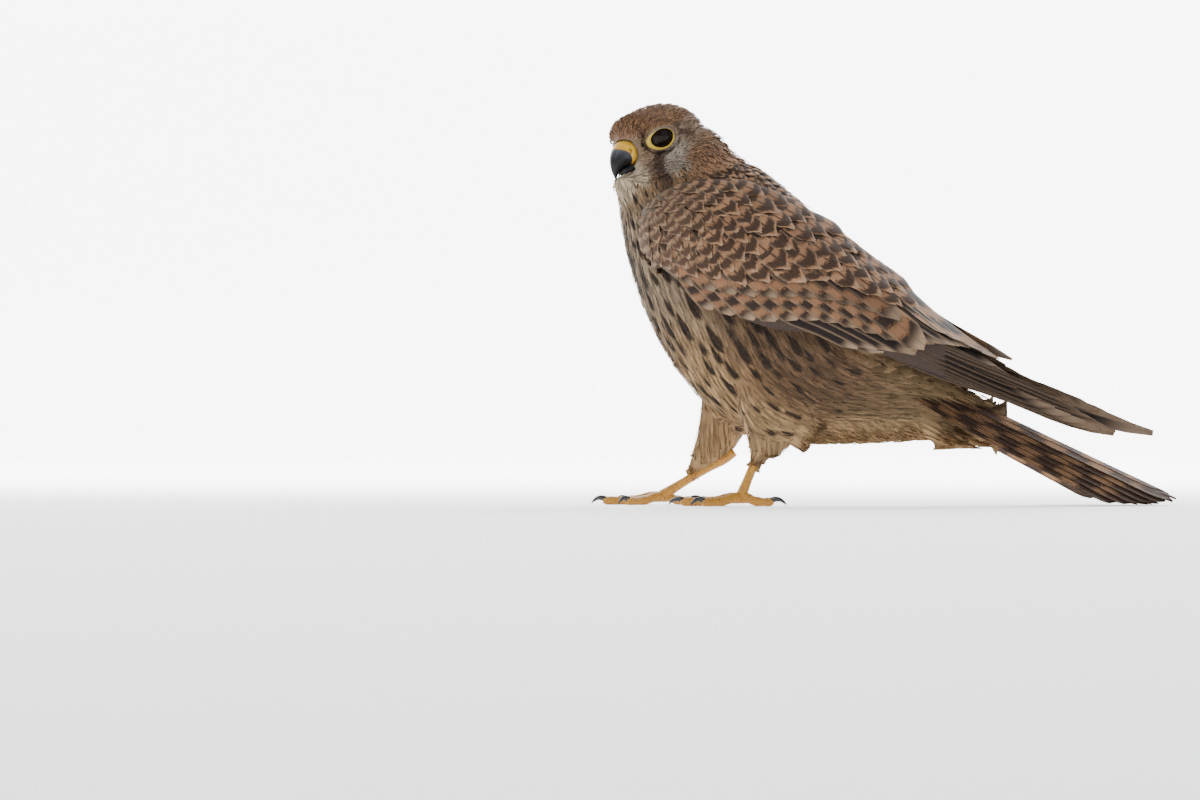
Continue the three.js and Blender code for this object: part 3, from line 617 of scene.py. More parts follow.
# %% Colours of the coat, as shares of red, green and blue light
CLAY = {
    "buff": (0.20, 0.118, 0.058),
    "cream": (0.29, 0.185, 0.09),
    "white": (0.46, 0.36, 0.25),
    "rufous": (0.205, 0.105, 0.055),
    "mantle": (0.245, 0.13, 0.068),
    "head": (0.22, 0.118, 0.062),
    # the vent's own olive buff, made darker still as painted shade of the wing over it
    "vent_buff_and_shade": (0.165, 0.11, 0.054),
    "breast": (0.21, 0.155, 0.10),
    # shade is painted shade, the wing's shadow on the flank under the folded wing
    "shade": (0.085, 0.05, 0.028),
    "cheek": (0.31, 0.26, 0.205),
    "lores": (0.20, 0.135, 0.082),
    "side": (0.20, 0.14, 0.095),
    "dark": (0.017, 0.011, 0.008),
    "umber": (0.045, 0.026, 0.017),
    "flight": (0.015, 0.0105, 0.009),
    "tail": (0.25, 0.135, 0.066),
    "pale_edge": (0.36, 0.25, 0.16),
}
CLAY = {name: np.array(value) for name, value in CLAY.items()}
MOUSTACHE = [(3, 12.5, -8), (8.2, 16.2, -9.8), (11.6, 18.4, -13.6), (14.4, 22.1, -18.6), (16, 24.7, -22)]
print("colours", len(CLAY))


# %% The colours of the coat at a point
def painted(under, over, share):
    return blend(under, over, share[:, None])


def trunk_clay(on_thigh, along, high):
    """Ground, marks and the share of the back, on the trunk and the thighs, with painted shade under the
    wing and on the vent.
    """
    back = ease((high - 0.15 - 0.5 * ease((along - 0.35) / 0.25)) / 0.35)
    low_front = zone(along, 0.2, 0.5, 0.2) * ease((0.1 - high) / 0.5)
    belly = ease((along - 0.4) / 0.2) * ease((-0.45 - high) / 0.35)
    # Painted shade: the flank under the folded wing is darkened towards the shade colour
    painted_wing_shade = zone(high, -0.45, 0.5, 0.5) * zone(along, 0.22, 0.8, 0.3)
    hind_neck = ease((0.24 - along) / 0.16) * ease((high + 0.7) / 0.6)
    ground = painted(CLAY["buff"], CLAY["breast"], low_front)
    # Towards the vent the ground turns olive buff, partly its own colour and partly painted shade under
    # the wing
    ground = painted(ground, CLAY["vent_buff_and_shade"], ease((along - 0.62) / 0.2))
    ground = painted(ground, CLAY["cream"], belly)
    ground = painted(ground, CLAY["shade"], 0.9 * painted_wing_shade)
    ground = painted(ground, CLAY["mantle"], back)
    ground = painted(ground, CLAY["head"], hind_neck * 0.9)
    ground = np.where(on_thigh[:, None], blend(CLAY["buff"], CLAY["cream"], 0.8), ground)
    streak = np.where(on_thigh, 0, 0.5 * ease((0.24 - along) / 0.12))
    bars = np.where(on_thigh, 0, 0.2 * back * ease((along - 0.17) / 0.1))
    return ground, (streak, bars, 0.3 + 0.3 * back), back


def face_clay(head, throat):
    """Ground and streak on the head, before the cheek, the throat and the dark lines."""
    forward, up = head[:, 0], head[:, 2]
    crown = ease((up - 3.2 - 0.1 * np.minimum(forward, 0)) / 2.4)
    rear = ease((np.linalg.norm(head - (-4, 0, -4), axis=1) - 23) / 7)
    nape = np.maximum(ease((-20 - forward) / 5), rear * 0.85)
    lores = ease((forward - 3) / 3) * zone(up, -8, 5, 3)
    brow = zone(up, 5.0, 7.2, 2) * zone(forward, -12, 5, 4)
    ground = painted(CLAY["side"], CLAY["head"], np.maximum(crown, nape))
    ground = painted(ground, CLAY["buff"], brow * 0.5)
    ground = painted(ground, CLAY["lores"], lores * 0.85)
    streak = 0.36 + 0.22 * np.maximum(crown, nape) - 0.36 * throat - 0.2 * brow - 0.1 * lores
    return ground, streak


def clay_at(points):
    """Ground colour, mark colour and marks (streak, bars, fringe) of the coat at each point."""
    head, on_head, on_thigh, along, high, _ = region_of(points)
    ground, (streak, bars, fringe), back = trunk_clay(on_thigh, along, high)
    throat = spot(head, (16, 0, -13), 9) + spot(head, (19, 0, -19), 10) + spot(head, (16, 9, -16), 6)
    throat = np.minimum(1, throat)
    cheek = np.minimum(1, spot(head, (0, 19, -8), 7.5) + spot(head, (6, 23, -15), 6))
    eye_line = line(head, (-5, 14, 4.5), (-13, 21, -4), 2.3)
    moustache = np.maximum.reduce([line(head, *ends, 2.9) for ends in zip(MOUSTACHE, MOUSTACHE[1:])])
    face, face_streak = face_clay(head, throat)
    ground = painted(ground, face, on_head)
    ground = painted(ground, CLAY["cheek"], cheek * 0.9)
    ground = painted(ground, CLAY["white"] * 0.85, throat * 0.9)
    ground = painted(ground, CLAY["umber"] * 1.3, eye_line * 0.8)
    ground = painted(ground, CLAY["umber"], moustache * 0.9)
    off_head = 1 - on_head
    streak = (streak * off_head + face_streak * on_head) * (1 - 0.9 * throat)
    mark = painted(CLAY["umber"], CLAY["dark"] * 1.6, back * off_head)
    mark = np.where(on_thigh[:, None], CLAY["rufous"], mark)
    mark = painted(mark, CLAY["dark"] * 1.2, (1 - back) * off_head * ~on_thigh)
    return ground, mark, np.stack([streak, bars * off_head, fringe * off_head], 1)


skin_ground, skin_mark, _ = clay_at(skin_points)
skin.data.materials.clear()
skin.data.materials.append(UNDER_DOWN)
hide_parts(*FLESH)
print("skin coloured", skin_ground.mean(0).round(2))

# %% [markdown]
# ## Unwrap of the body
# Each feather has a small patch of its own in the OFBake map, which lies where its root is on an unrolled
# body. The trunk and head unroll like a tube from bill to tail, and each thigh like a short tube beside
# it.

# %% The place of a point on the unrolled body
def unrolled(points):
    head, on_head, on_thigh, along, high, section = region_of(points)
    side = points[:, 1] - TRUNK_LINE[section, 1]
    angle = np.arctan2(side / 36, np.clip(high, -2, 2))
    head_angle = np.arctan2(-head[:, 1] / 20, (head[:, 2] + 3) / 17)
    shift = on_head > 0.5
    u = 0.36 + 0.34 * np.where(shift, head_angle, angle) / np.pi
    v = np.where(shift, 0.02 + 0.2 * (16 - head[:, 0]) / 46, 0.24 + 0.74 * along)
    low = np.clip(points[:, 2] / 70, 0, 1)
    leg_angle = np.arctan2(points[:, 1] - np.sign(points[:, 1]) * 20, points[:, 0] + 65)
    leg_u = 0.72 + 0.13 * (points[:, 1] > 0) + 0.12 * (leg_angle / (2 * np.pi) + 0.5)
    u = np.where(on_thigh, leg_u, u)
    v = np.where(on_thigh, 0.1 + 0.8 * low, v)
    return np.stack([u, v], 1)


print("first skin point unrolled", unrolled(skin_points[:1]).round(2))

# %% [markdown]
# ## Body feathers
# Feathers lie from the bill towards the tail and each covers the root of the next. Each one follows the
# skin from its root, step by step, and lifts a little towards its tip. Their size grows from the face
# to the belly.

# %% The lie of the coat and the feathers along it
PATCH = 0.003  # side of one feather's place on the unrolled body
BAR_PLACE = 0.16  # puts a dark bar just short of the tip


def lie_at(points, normals):
    """Direction of the coat on the surface."""
    head, on_head, on_thigh, _, _, section = region_of(points)
    further, nearer = np.minimum(section + 3, SECTION_STEPS - 1), np.maximum(section - 3, 0)
    flow = unit(TRUNK_LINE[further] - TRUNK_LINE[nearer])
    to_nape = unit(np.stack([-np.ones(len(head)), 0.012 * head[:, 1], 0.02 * (head[:, 2] + 2)], 1))
    low_cheek = ease((-4 - head[:, 2]) / 10)[:, None]
    to_nape = unit(to_nape + low_cheek * (0.2, 0, -0.6)) @ HEAD_AXES
    flow = blend(flow, to_nape, on_head[:, None])
    return square_to(np.where(on_thigh[:, None], (0.05, 0, -1), flow), normals)


def nearest(points, tree=None):
    found = [(tree or skin_tree).find_nearest(p) for p in points.tolist()]
    return np.array([f[0] for f in found]), np.array([f[1] for f in found])


def traced(roots, lengths, steps, lie=lie_at, tree=None):
    """Middle points, normals and sideways directions of feathers laid along a surface."""
    place, normal = nearest(roots, tree)
    rows = []
    for _ in range(steps):
        direction = lie(place, normal)
        rows.append((place, normal, np.cross(normal, direction)))
        place, normal = nearest(place + direction * (lengths / (steps - 1))[:, None], tree)
    return [np.stack(group, 1) for group in zip(*rows)]


print("skin points near the bill", int((to_head(skin_points)[:, 0] > 10).sum()))


# %% One mesh of many feathers
def blade_width(along, root, full_at, turn, tip, power, least):
    """Share of a feather's width from its root: full after full_at, rounded off from turn on."""
    rounded = np.clip(1 - ((along - turn) / tip).clip(0, 1) ** power, least, 1)
    return blend(root, 1, ease(along / full_at)) * np.sqrt(rounded)


def vane_points(middles, sides, width, normals, rise):
    """Points of flat feathers: steps along each middle line and columns across it."""
    flat = middles[:, :, None] + sides[:, :, None] * width[..., None]
    return flat + normals[:, :, None] * rise[..., None]


def vane_map(across, along):
    return np.stack(np.broadcast_arrays(across[None], along[:, None]), -1)


def plumage(
    name, rows, lengths, halves, colours, unwrap, columns,
    lift=(0.2, 1.5), cup=0.12, fray=0.12, root=0.45, fluff=None, point=0.0, dye=None,
):
    """One mesh of many thin feathers. rows are middle points, normals and sideways directions.

    lift is the height at root and tip, cup lowers the edges, fray roughens the tip, root is the width
    there, fluff raises the tips further, point narrows them and dye darkens the ground.
    """
    middles, normals, sides = rows
    count, steps = middles.shape[:2]
    each = steps * columns
    along = np.linspace(0, 1, steps)
    across = np.linspace(-1, 1, columns)
    blade = blade_width(along, root, 0.45, 0.6, 0.42, 2.4, 0.05) * (1 - point * along**2)
    halves = halves * rng.uniform(0.85, 1.15, count)
    width = halves[:, None, None] * blade[None, :, None] * across[None, None]
    rise = lift[0] + (lift[1] - lift[0]) * ease(along * 1.1)[None, :, None]
    rise = rise * rng.uniform(0.75, 1.25, (count, 1, 1))
    rise = rise - cup * halves[:, None, None] * (across**2)[None, None]
    points = vane_points(middles, sides, width, normals, rise)
    frayed = rng.uniform(-1, 1, (count, 1, columns)) * fray * lengths[:, None, None]
    frayed = (frayed - 0.16 * lengths[:, None, None] * np.abs(across) ** 2) * (along**3)[None, :, None]
    points = points + np.cross(sides, normals)[:, :, None] * frayed[..., None]
    if fluff is not None:
        points = points + normals[:, :, None] * (fluff[:, None] * along)[:, :, None, None]
    quads = copied(grid_quads(steps, columns), count, each)
    vane = np.repeat(vane_map((across + 1) / 2, along)[None], count, 0).reshape(-1, 2)
    patch = np.repeat(unwrap, each, 0) + (vane - 0.5) * PATCH
    ground, mark, rim, marks = (np.repeat(value, each, 0) for value in colours)
    if dye is not None:
        ground = blend(ground, mark, dye(points.reshape(-1, 3))[:, None])
    tints = {"ground": ground, "mark": mark, "rim": rim, "marks": marks}
    piece = mesh_piece(name, points, quads, FEATHER, {"OFBake": patch, "Vane": vane}, tints)
    print(name, count, "feathers", 2 * len(quads), "triangles")


# %% Roots spread over the skin
def scattered(keep, spacing_at, tries):
    """Roots spread over the skin, no two closer than the local spacing."""
    skin.data.calc_loop_triangles()
    corners = np.empty(len(skin.data.loop_triangles) * 3, np.int32)
    skin.data.loop_triangles.foreach_get("vertices", corners)
    a, b, c = (skin_points[column] for column in corners.reshape(-1, 3).T)
    area = np.linalg.norm(np.cross(b - a, c - a), axis=1) * keep((a + b + c) / 3)
    pick = rng.choice(len(a), tries, p=area / area.sum())
    u, v = rng.random((2, tries, 1))
    u, v = np.where(u + v > 1, 1 - u, u), np.where(u + v > 1, 1 - v, v)
    points = a[pick] + u * (b - a)[pick] + v * (c - a)[pick]
    spacing = spacing_at(points)
    kept = []
    cells = {}
    places = np.floor(points / spacing.max()).astype(int).tolist()
    for point, gap, (x, y, z) in zip(points, spacing, places):
        around = itertools.product((x - 1, x, x + 1), (y - 1, y, y + 1), (z - 1, z, z + 1))
        near = [other for cell in around for other in cells.get(cell, ())]
        if near and np.min(np.sum((np.array(near) - point) ** 2, 1)) < gap * gap:
            continue
        cells.setdefault((x, y, z), []).append(point)
        kept.append(point)
    return np.array(kept)


# %% Colours of single feathers
def coat_colours(points):
    """Colours of the feathers at each point, with chance differences and the painted light and shade of
    soft clumps.
    """
    ground, mark, marks = clay_at(points)
    count = len(points)
    off_head = 1 - head_share(points)
    along, high = trunk_place(points)
    ground = ground * rng.normal(1, 0.17, (count, 1)).clip(0.7, 1.35)
    x, y, z = points.T
    # Painted light and shade of soft clumps: the ground is darker and lighter in waves over the body
    clump_shade = np.sin(0.55 * x + 0.3 * z) * np.sin(0.5 * z - 0.35 * x + 0.6 * y)
    clump_shade_depth = 0.14 + 0.14 * ease((along - 0.35) / 0.2)
    ground = ground * (1 + clump_shade_depth * clump_shade * off_head)[:, None]
    plain = ease((along - 0.1) / 0.2) * (high < 0.3)
    has_mark = rng.random(count) < 0.95 - 0.5 * plain * off_head
    marks[:, 0] *= has_mark * rng.uniform(0.7, 1.2, count)
    rim = blend(ground, CLAY["pale_edge"], 0.6)
    return ground, mark, rim, np.c_[marks, rng.normal(BAR_PLACE, 0.07, count)]


# %% Dark drops on the breast and the flanks
def drop_centres():
    """Places of the dark drops on the breast and the flanks."""
    def keep(points):
        _, on_head, on_thigh, along, high, _ = region_of(points)
        return ((on_head < 0.4) & ~on_thigh & (high < 0.35) & (along > 0.1) & (along < 0.72)).astype(float)

    def spacing(points):
        along = trunk_place(points)[0]
        return 3.8 + 3.4 * ease((along - 0.1) / 0.35)

    roots = scattered(keep, spacing, 2500)
    place, normal = nearest(roots)
    along = trunk_place(place)[0]
    size = 0.55 + 0.5 * ease((along - 0.1) / 0.3) - 0.45 * ease((along - 0.5) / 0.2)
    return place, lie_at(place, normal), size * rng.uniform(0.7, 1.25, len(place))


def drops(points):
    """How dark the coat is at each point under the field of drops, 0 to 1."""
    place, flow, size = DROPS
    dark = np.zeros(len(points))
    for centre, way, scale in zip(place, flow, size):
        offset = points - centre
        near = np.abs(offset).max(1) < 9
        offset = offset[near]
        run = offset @ way / (6.2 * scale)
        off = np.linalg.norm(offset - (offset @ way)[:, None] * way, axis=1)
        wide = 1.65 * scale * np.sqrt(np.clip(1 - run**2, 0, 1)) * (1 + 0.45 * run)
        dark[near] = np.maximum(dark[near], ease((wide - off) / 0.8 + 0.5) * (np.abs(run) < 1))
    return dark


DROPS = drop_centres()
skin_ground = blend(skin_ground, skin_mark, drops(skin_points)[:, None])
layer = skin.data.attributes.new("ground", "FLOAT_COLOR", "POINT")
layer.data.foreach_set("color", np.c_[skin_ground, np.ones(len(skin_ground))].astype(np.float32).ravel())
print("drops", len(DROPS[0]))


# %% Parts of the coat, and how close its feathers stand there
def forehead_fluff(points):
    """Extra height of the feathers over the bill and on the forehead."""
    head = to_head(points)
    return 1.3 * ease((head[:, 0] - 1) / 9) * ease((head[:, 2] + 1) / 5) * (head_share(points) > 0.5)


def feathered_head(points):
    """The head away from the eyes and the bill."""
    head = to_head(points)
    eye = np.array([EYE_CENTRE[0] + 5.5, EYE_CENTRE[1] + 6.2, EYE_CENTRE[2]])
    away = np.linalg.norm(one_side(head) - eye, axis=1) > 7.4
    bill = (head[:, 0] > 11) & (np.abs(head[:, 1]) < 7) & (head[:, 2] < 3.4) & (head[:, 2] > -9)
    return (head_share(points) >= 0.5) * (away & ~bill)


def face_spacing(points):
    head = to_head(points)
    return 0.95 + 0.75 * ease((8 - head[:, 0]) / 30)


def body_spacing(points):
    along, high = trunk_place(points)
    return 1.1 + 2.7 * ease(along / 0.42) + 0.5 * ease((high - 0.2) / 0.4) * ease((along - 0.12) / 0.15)


def front_spacing(points):
    return 1.1 + 0.9 * ease(trunk_place(points)[0] / 0.3)


def part_of_body(low, high, back):
    def keep(points):
        _, on_head, on_thigh, along, height, _ = region_of(points)
        limit = 0.05 + 0.35 * ease((along - 0.3) / 0.15)
        facing = (height > limit) if back else (height <= limit)
        return ((on_head < 0.5) & ~on_thigh & facing & (along >= low) & (along < high)).astype(float)

    return keep


def thigh_spacing(points):
    return 1.2 + 0.015 * points[:, 2]


def thigh_keep(points):
    return region_of(points)[2].astype(float)


print("head feathers at skin points", int(feathered_head(skin_points).sum()))


# %% Coats of the head, the neck, the trunk and the thighs
def coat(name, keep, spacing_at, tries, length, half, steps, columns, fluff_at=None, **shape):
    """Feathers over one part of the skin. length and half are shares of their spacing."""
    roots = scattered(keep, spacing_at, tries)
    if fluff_at:
        shape["fluff"] = fluff_at(roots)
    gap = spacing_at(roots)
    lengths = gap * length * rng.uniform(0.85, 1.15, len(roots))
    rows = traced(roots, lengths, steps)
    colours = coat_colours(rows[0][:, -1])
    plumage(name, rows, lengths, gap * half, colours, unrolled(roots), columns, **shape)


SHORT = dict(lift=(0.3, 1.3), fray=0.2, fluff_at=forehead_fluff)
SOFT = dict(root=0.7, point=0.8, fray=0.3, lift=(0.3, 1.0))
STREAKED = dict(dye=drops, **SOFT)
coat("coat_head", feathered_head, face_spacing, 26000, 3.2, 0.62, 4, 4, **SHORT)
coat("coat_neck", part_of_body(0, 0.3, False), front_spacing, 14000, 4.2, 0.5, 6, 4, **STREAKED)
coat("coat_breast", part_of_body(0.3, 0.7, False), front_spacing, 26000, 4.6, 0.46, 7, 4, **STREAKED)
coat("coat_vent", part_of_body(0.7, 0.93, False), front_spacing, 14000, 5.5, 0.42, 7, 4, **STREAKED)
coat("coat_mantle", part_of_body(0, 0.93, True), body_spacing, 12000, 3.0, 0.66, 6, 7)
coat("coat_thighs", thigh_keep, thigh_spacing, 22000, 6.0, 0.42, 7, 4, **SOFT)

# %% Long coverts over the tail's base, and the lower edge of the trousers
def loose_coat(name, keep, gap, tries, reach, half, direction, sink):
    """Feathers that leave the skin and run straight on past its end."""
    steps = 7
    roots = scattered(keep, lambda p: np.full(len(p), gap), tries)
    place, normal = nearest(roots)
    count = len(roots)
    lengths = reach * rng.uniform(0.75, 1.15, count)
    flow = unit(direction(place) + rng.normal(0, 0.05, (count, 3)))
    run = np.linspace(0, 1, steps)[None, :, None]
    course = flow[:, None] * run * lengths[:, None, None]
    middles = place[:, None] + course - normal[:, None] * sink * run**2
    normals = np.repeat(normal[:, None], steps, 1)
    sides = unit(np.cross(normals, np.repeat(flow[:, None], steps, 1)))
    colours = coat_colours(place)
    below = trunk_place(place)[1] < 0.35
    colours[3][below, :3] = 0
    halves = half * rng.uniform(0.8, 1.2, count)
    shape = dict(lift=(0.3, 0.6), fray=0.3, root=0.8, point=0.9)
    plumage(name, (middles, normals, sides), lengths, halves, colours, unrolled(roots), 4, **shape)


def near_tail(points):
    _, on_head, on_thigh, along, _, _ = region_of(points)
    return ((along > 0.86) & ~on_thigh & (on_head < 0.5) & (points[:, 0] < 37)).astype(float)


def drawn_in(points, way, pull):
    """A direction that turns towards the bird's middle plane on both sides."""
    return np.asarray(way) + points * (0, -pull, 0)


def along_tail(points):
    return drawn_in(points, (math.cos(TAIL_SLOPE), 0, -math.sin(TAIL_SLOPE)), 0.004)


def trouser_ends(points):
    return (region_of(points)[2] & (points[:, 2] < 31)).astype(float)


def along_shank(points):
    flow = np.zeros_like(points)
    for foot in FEET.values():
        way = unit(np.subtract(foot["hub"], foot["heel"]).astype(float))
        offset = points - MIDDLE - foot["heel"]
        inward = (offset @ way)[:, None] * way - offset
        here = np.sign(points[:, 1]) == np.sign(foot["hub"][1])
        flow[here] = (way + inward / 9)[here]
    return flow


def belly_ends(points):
    _, on_head, _, _, high, _ = region_of(points)
    bottom = (points[:, 2] < 42) & (high < -0.6) & (points[:, 0] > -46) & (points[:, 0] < 16)
    return (bottom & (on_head < 0.5)).astype(float)


def hanging(points):
    return drawn_in(points, (0.9, 0, -0.45), 0.02)


loose_coat("coat_belly_fluff", belly_ends, 0.9, 14000, 8, 0.75, hanging, 0.6)
loose_coat("coat_tail_coverts", near_tail, 1.5, 8000, 19, 1.5, along_tail, 1.2)
loose_coat("coat_garters", trouser_ends, 0.8, 9000, 8, 0.7, along_shank, 0.3)

# %% [markdown]
# ## Wings
# A folded wing is a fan of long feathers shut under rows of coverts. Each feather runs from its root to
# its tip on the sheet that the frame's wing follows, and rises one layer over the row below it. Solid
# vanes with a shaft would print better, but the eye only sees their overlapping edges.

# %% The wing's sheet, its feather rows and their places on it
def sheet_row(x):
    """The sheet's table read at x."""
    x = np.asarray(x, float)
    i = np.clip(np.searchsorted(WING_SHEET[:, 0], x, side="right") - 1, 0, len(WING_SHEET) - 2)
    t = (x - WING_SHEET[i, 0]) / (WING_SHEET[i + 1, 0] - WING_SHEET[i, 0])
    return smooth_rows(WING_SHEET, i + np.clip(t, 0, 1))


def sheet_point(x, share):
    row = sheet_row(x)
    low_z, high_z, low_y, middle_y, high_y = (row[..., k] for k in range(1, 6))
    bend = 2 * middle_y - (low_y + high_y) / 2
    y = (1 - share) ** 2 * low_y + 2 * (1 - share) * share * bend + share**2 * high_y
    return np.stack([x, y, low_z + (high_z - low_z) * share], -1)


def sheet_out(x, share):
    along = sheet_point(x + 0.5, share) - sheet_point(x - 0.5, share)
    rise = sheet_point(x, share + 0.02) - sheet_point(x, share - 0.02)
    out = unit(np.cross(along, rise))
    return np.where(out[..., 1:2] > 0, -out, out)


print("height of the sheet at the shoulder", float(np.diff(sheet_row(-90)[1:3])[0].round(1)))


# %% Rows of the wing's feathers
WING_ROWS = [
    dict(name="primaries", count=9, root=((-40, 0.1), (-16, 0.42)), tip=((100, 0.06), (47, 0.86)),
         half=(4.6, 6), lift=-1.3, length_steps=16, ground="flight", mark="umber", marks=(0, 0.0, 0.5)),
    dict(name="secondaries", count=8, root=((-64, 0.18), (-36, 0.6)), tip=((-6, 0.08), (34, 0.82)),
         half=(6.4, 7), lift=0.0, length_steps=12, ground="flight", mark="rufous", marks=(0, 0.0, 0.8)),
    dict(name="tertials", count=4, root=((-50, 0.7), (-34, 0.9)), tip=((24, 0.76), (48, 0.97)),
         half=(6.4, 7.6), lift=0.7, length_steps=12, ground="mantle", mark="dark", marks=(0, 0.5, 0.6)),
    dict(name="primary_coverts", count=4, root=((-66, 0.2), (-52, 0.3)), tip=((-18, 0.03), (8, 0.2)),
         half=(5, 4.6), lift=0.9, length_steps=9, ground="flight", mark="dark", marks=(0, 0, 0.8)),
    dict(name="greater_coverts", count=11, root=((-105, 0.25), (-38, 0.56)), tip=((-84, 0.0), (12, 0.34)),
         half=(5.6, 7), lift=1.4, length_steps=9, ground="rufous", mark="dark", marks=(0, 0.42, 0.7)),
    dict(name="median_coverts", count=11, root=((-111, 0.4), (-46, 0.68)), tip=((-92, 0.12), (0, 0.48)),
         half=(5.6, 7), lift=1.9, length_steps=8, ground="rufous", mark="dark", marks=(0, 0.3, 0.6)),
    dict(name="upper_coverts", count=12, root=((-113, 0.56), (-50, 0.82)), tip=((-97, 0.26), (-10, 0.62)),
         half=(5.4, 7), lift=2.3, length_steps=8, ground="mantle", mark="dark", marks=(0, 0.28, 0.5)),
]
CORE_STEPS = 50


def side_turned(points, side):
    return points * (1, side, 1) + MIDDLE


def wing_tints(row, count):
    strength = 1.6 if row["mark"] == "dark" else 1
    tones = (CLAY[row["ground"]], CLAY[row["mark"]] * strength, CLAY["pale_edge"])
    ground, mark, rim = (np.repeat(tone[None], count, 0) for tone in tones)
    ground = ground * rng.normal(1, 0.1, (count, 1)).clip(0.75, 1.3)
    marks = np.repeat(np.array([row["marks"]]), count, 0)
    return [ground, mark, rim, np.c_[marks, rng.normal(BAR_PLACE, 0.06, count)]]


def row_paths(row, tip_x):
    """Sheet places of each feather of a row from its root to its tip, and how much it is drawn out."""
    share = np.linspace(0, 1, row["count"])[:, None]
    root = blend(row["root"][0], row["root"][1], share)
    tip = blend(row["tip"][0], row["tip"][1], share)
    run = np.linspace(0, 1, row["length_steps"])[None, :]
    x = root[:, :1] + (tip - root)[:, :1] * run
    height = root[:, 1:] + (tip - root)[:, 1:] * run
    reach = (tip_x - 20) / (104 - 20)
    drawn_out = np.where(x > 20, (x - 20) * (reach - 1), 0)
    return x, height, drawn_out, run


def wing_row(row, side_name, side, tip_x):
    """One row of vanes, each 0.22 mm thick and raised over the row below it."""
    x, height, drawn_out, run = row_paths(row, tip_x)
    middle = sheet_point(x, height)
    out = sheet_out(x, height)
    ahead = unit(np.gradient(middle, axis=1))
    sideways = unit(np.cross(out, ahead))
    sideways = np.where(sideways[..., 2:] < 0, -sideways, sideways)
    rise = row["lift"] * ease(run / 0.16) - 1.2 * (1 - ease(run / 0.16))
    middle = middle + out * rise[..., None]
    middle[..., 0] += drawn_out
    count, steps = x.shape
    columns = 7
    across = np.linspace(-1, 1, columns)
    along = np.linspace(0, 1, steps)
    blade = blade_width(along, 0.5, 0.4, 0.84, 0.17, 2, 0.04)
    half = np.linspace(*row["half"], count)[:, None, None]
    width = half * blade[None, :, None] * across
    tilt = -across * 0.55 - 0.012 * width**2
    points = vane_points(middle, sideways, width, out, tilt)
    frayed = rng.uniform(-0.5, 0.5, (count, 1, columns)) * (along**8)[None, :, None]
    points = side_turned(points + ahead[:, :, None] * frayed[..., None], side)
    under = points - side_turned(out[:, :, None] * 0.22, side) + MIDDLE
    both = np.stack([points, under], 1)
    vane_solid(f"{row['name']}_{side_name}", both, wing_tints(row, count))


# %% Long feathers with two faces
def vane_solid(name, both, colours, tip_dark=0.0):
    """Long feathers with an upper and an under face. both is feathers x 2 faces x steps x columns."""
    count, _, steps, columns = both.shape[:4]
    face = steps * columns
    top = grid_quads(steps, columns)
    rim = np.concatenate([
        np.arange(columns), np.arange(1, steps) * columns + columns - 1,
        face - 2 - np.arange(columns - 1), np.arange(steps - 2, 0, -1) * columns,
    ])
    following = np.roll(rim, -1)
    wall = np.stack([rim, following, following + face, rim + face], 1)
    quads = copied(np.concatenate([top, top[:, ::-1] + face, wall]), count, 2 * face)
    vane = vane_map(np.linspace(0, 1, columns), np.linspace(0, 1, steps))
    vane = np.repeat(np.repeat(vane[None], 2, 0)[None], count, 0).reshape(-1, 2)
    strip = np.stack([(np.arange(count) + 0.1) / count, np.zeros(count)], 1)
    patch = np.repeat(strip, 2 * face, 0) + vane * (0.8 / count, 0.46)
    patch[:, 1] += np.tile(np.repeat([0.0, 0.5], face), count) + 0.02
    ground, mark, edge, marks = (np.repeat(value, 2 * face, 0) for value in colours)
    ground = ground * (1 - tip_dark * ease((vane[:, 1:] - 0.84) / 0.05))
    tints = {"ground": ground, "mark": mark, "rim": edge, "marks": marks}
    piece = mesh_piece(name, both, quads, FEATHER, {"OFBake": patch, "Vane": vane}, tints)
    print(name, count, "vanes")
    return piece


# %% Flesh and down inside the wing
def wing_core(side_name, side):
    """The wing's flesh and down, which fills the spaces between the feathers."""
    x = np.linspace(-117, 22, CORE_STEPS)[:, None]
    share = np.linspace(0.02, 1, 16)[None]
    run = np.linspace(0, 1, CORE_STEPS)[:, None]
    thin = np.sin(np.pi * np.minimum(1, 0.12 + 0.88 * run) ** 0.7) ** 0.5
    out = sheet_out(x + 0 * share, share + 0 * x)
    place = sheet_point(x + 0 * share, share + 0 * x)
    outer = place + out * (np.sin(np.pi * np.minimum(1, share * 0.86 + 0.12)) * 1.1 * thin)[..., None]
    inner = place - out * np.maximum(0.7, 4.6 * thin)[..., None] * np.ones_like(share)[..., None]
    rings = side_turned(np.concatenate([outer, inner[:, ::-1]], 1), side)
    count = (CORE_STEPS + 2) * rings.shape[1]
    ahead = ease((-88 - np.repeat(np.linspace(-117, 22, CORE_STEPS + 2), rings.shape[1])) / 16)[:, None]
    ground = blend(np.repeat((CLAY["umber"] * 1.1)[None], count, 0), CLAY["breast"] * 0.7, ahead)
    piece = closed_tube(f"wing_core_{side_name}", rings, UNDER_DOWN, {"ground": ground})
    return piece, rings


# %% Shoulder feathers
def shoulder_roots(first=-117.0, last=-8):
    """Sheet places of the shoulder's feathers in slanting lines, and the gap at each."""
    roots, gap = [], []
    x = first
    for line_number in itertools.count():
        if x >= last:
            break
        step = 4.4 + 4.4 * float(ease((x + 118) / 60))
        low = float(np.interp(x, (-117, -100, -60, -20, 0), (0.05, 0.34, 0.55, 0.66, 0.8)))
        height = abs(float(np.diff(sheet_row(x)[1:3])[0]))
        number = max(2, int(height * (1.04 - low) / (step * 0.9)))
        for k in range(number):
            share = low + (1.04 - low) * (k + 0.5 * (line_number % 2)) / number
            roots.append((x + rng.uniform(-0.7, 0.7), share + rng.uniform(-0.01, 0.01)))
            gap.append(step)
        x += step * 0.66
    return np.array(roots), np.array(gap)


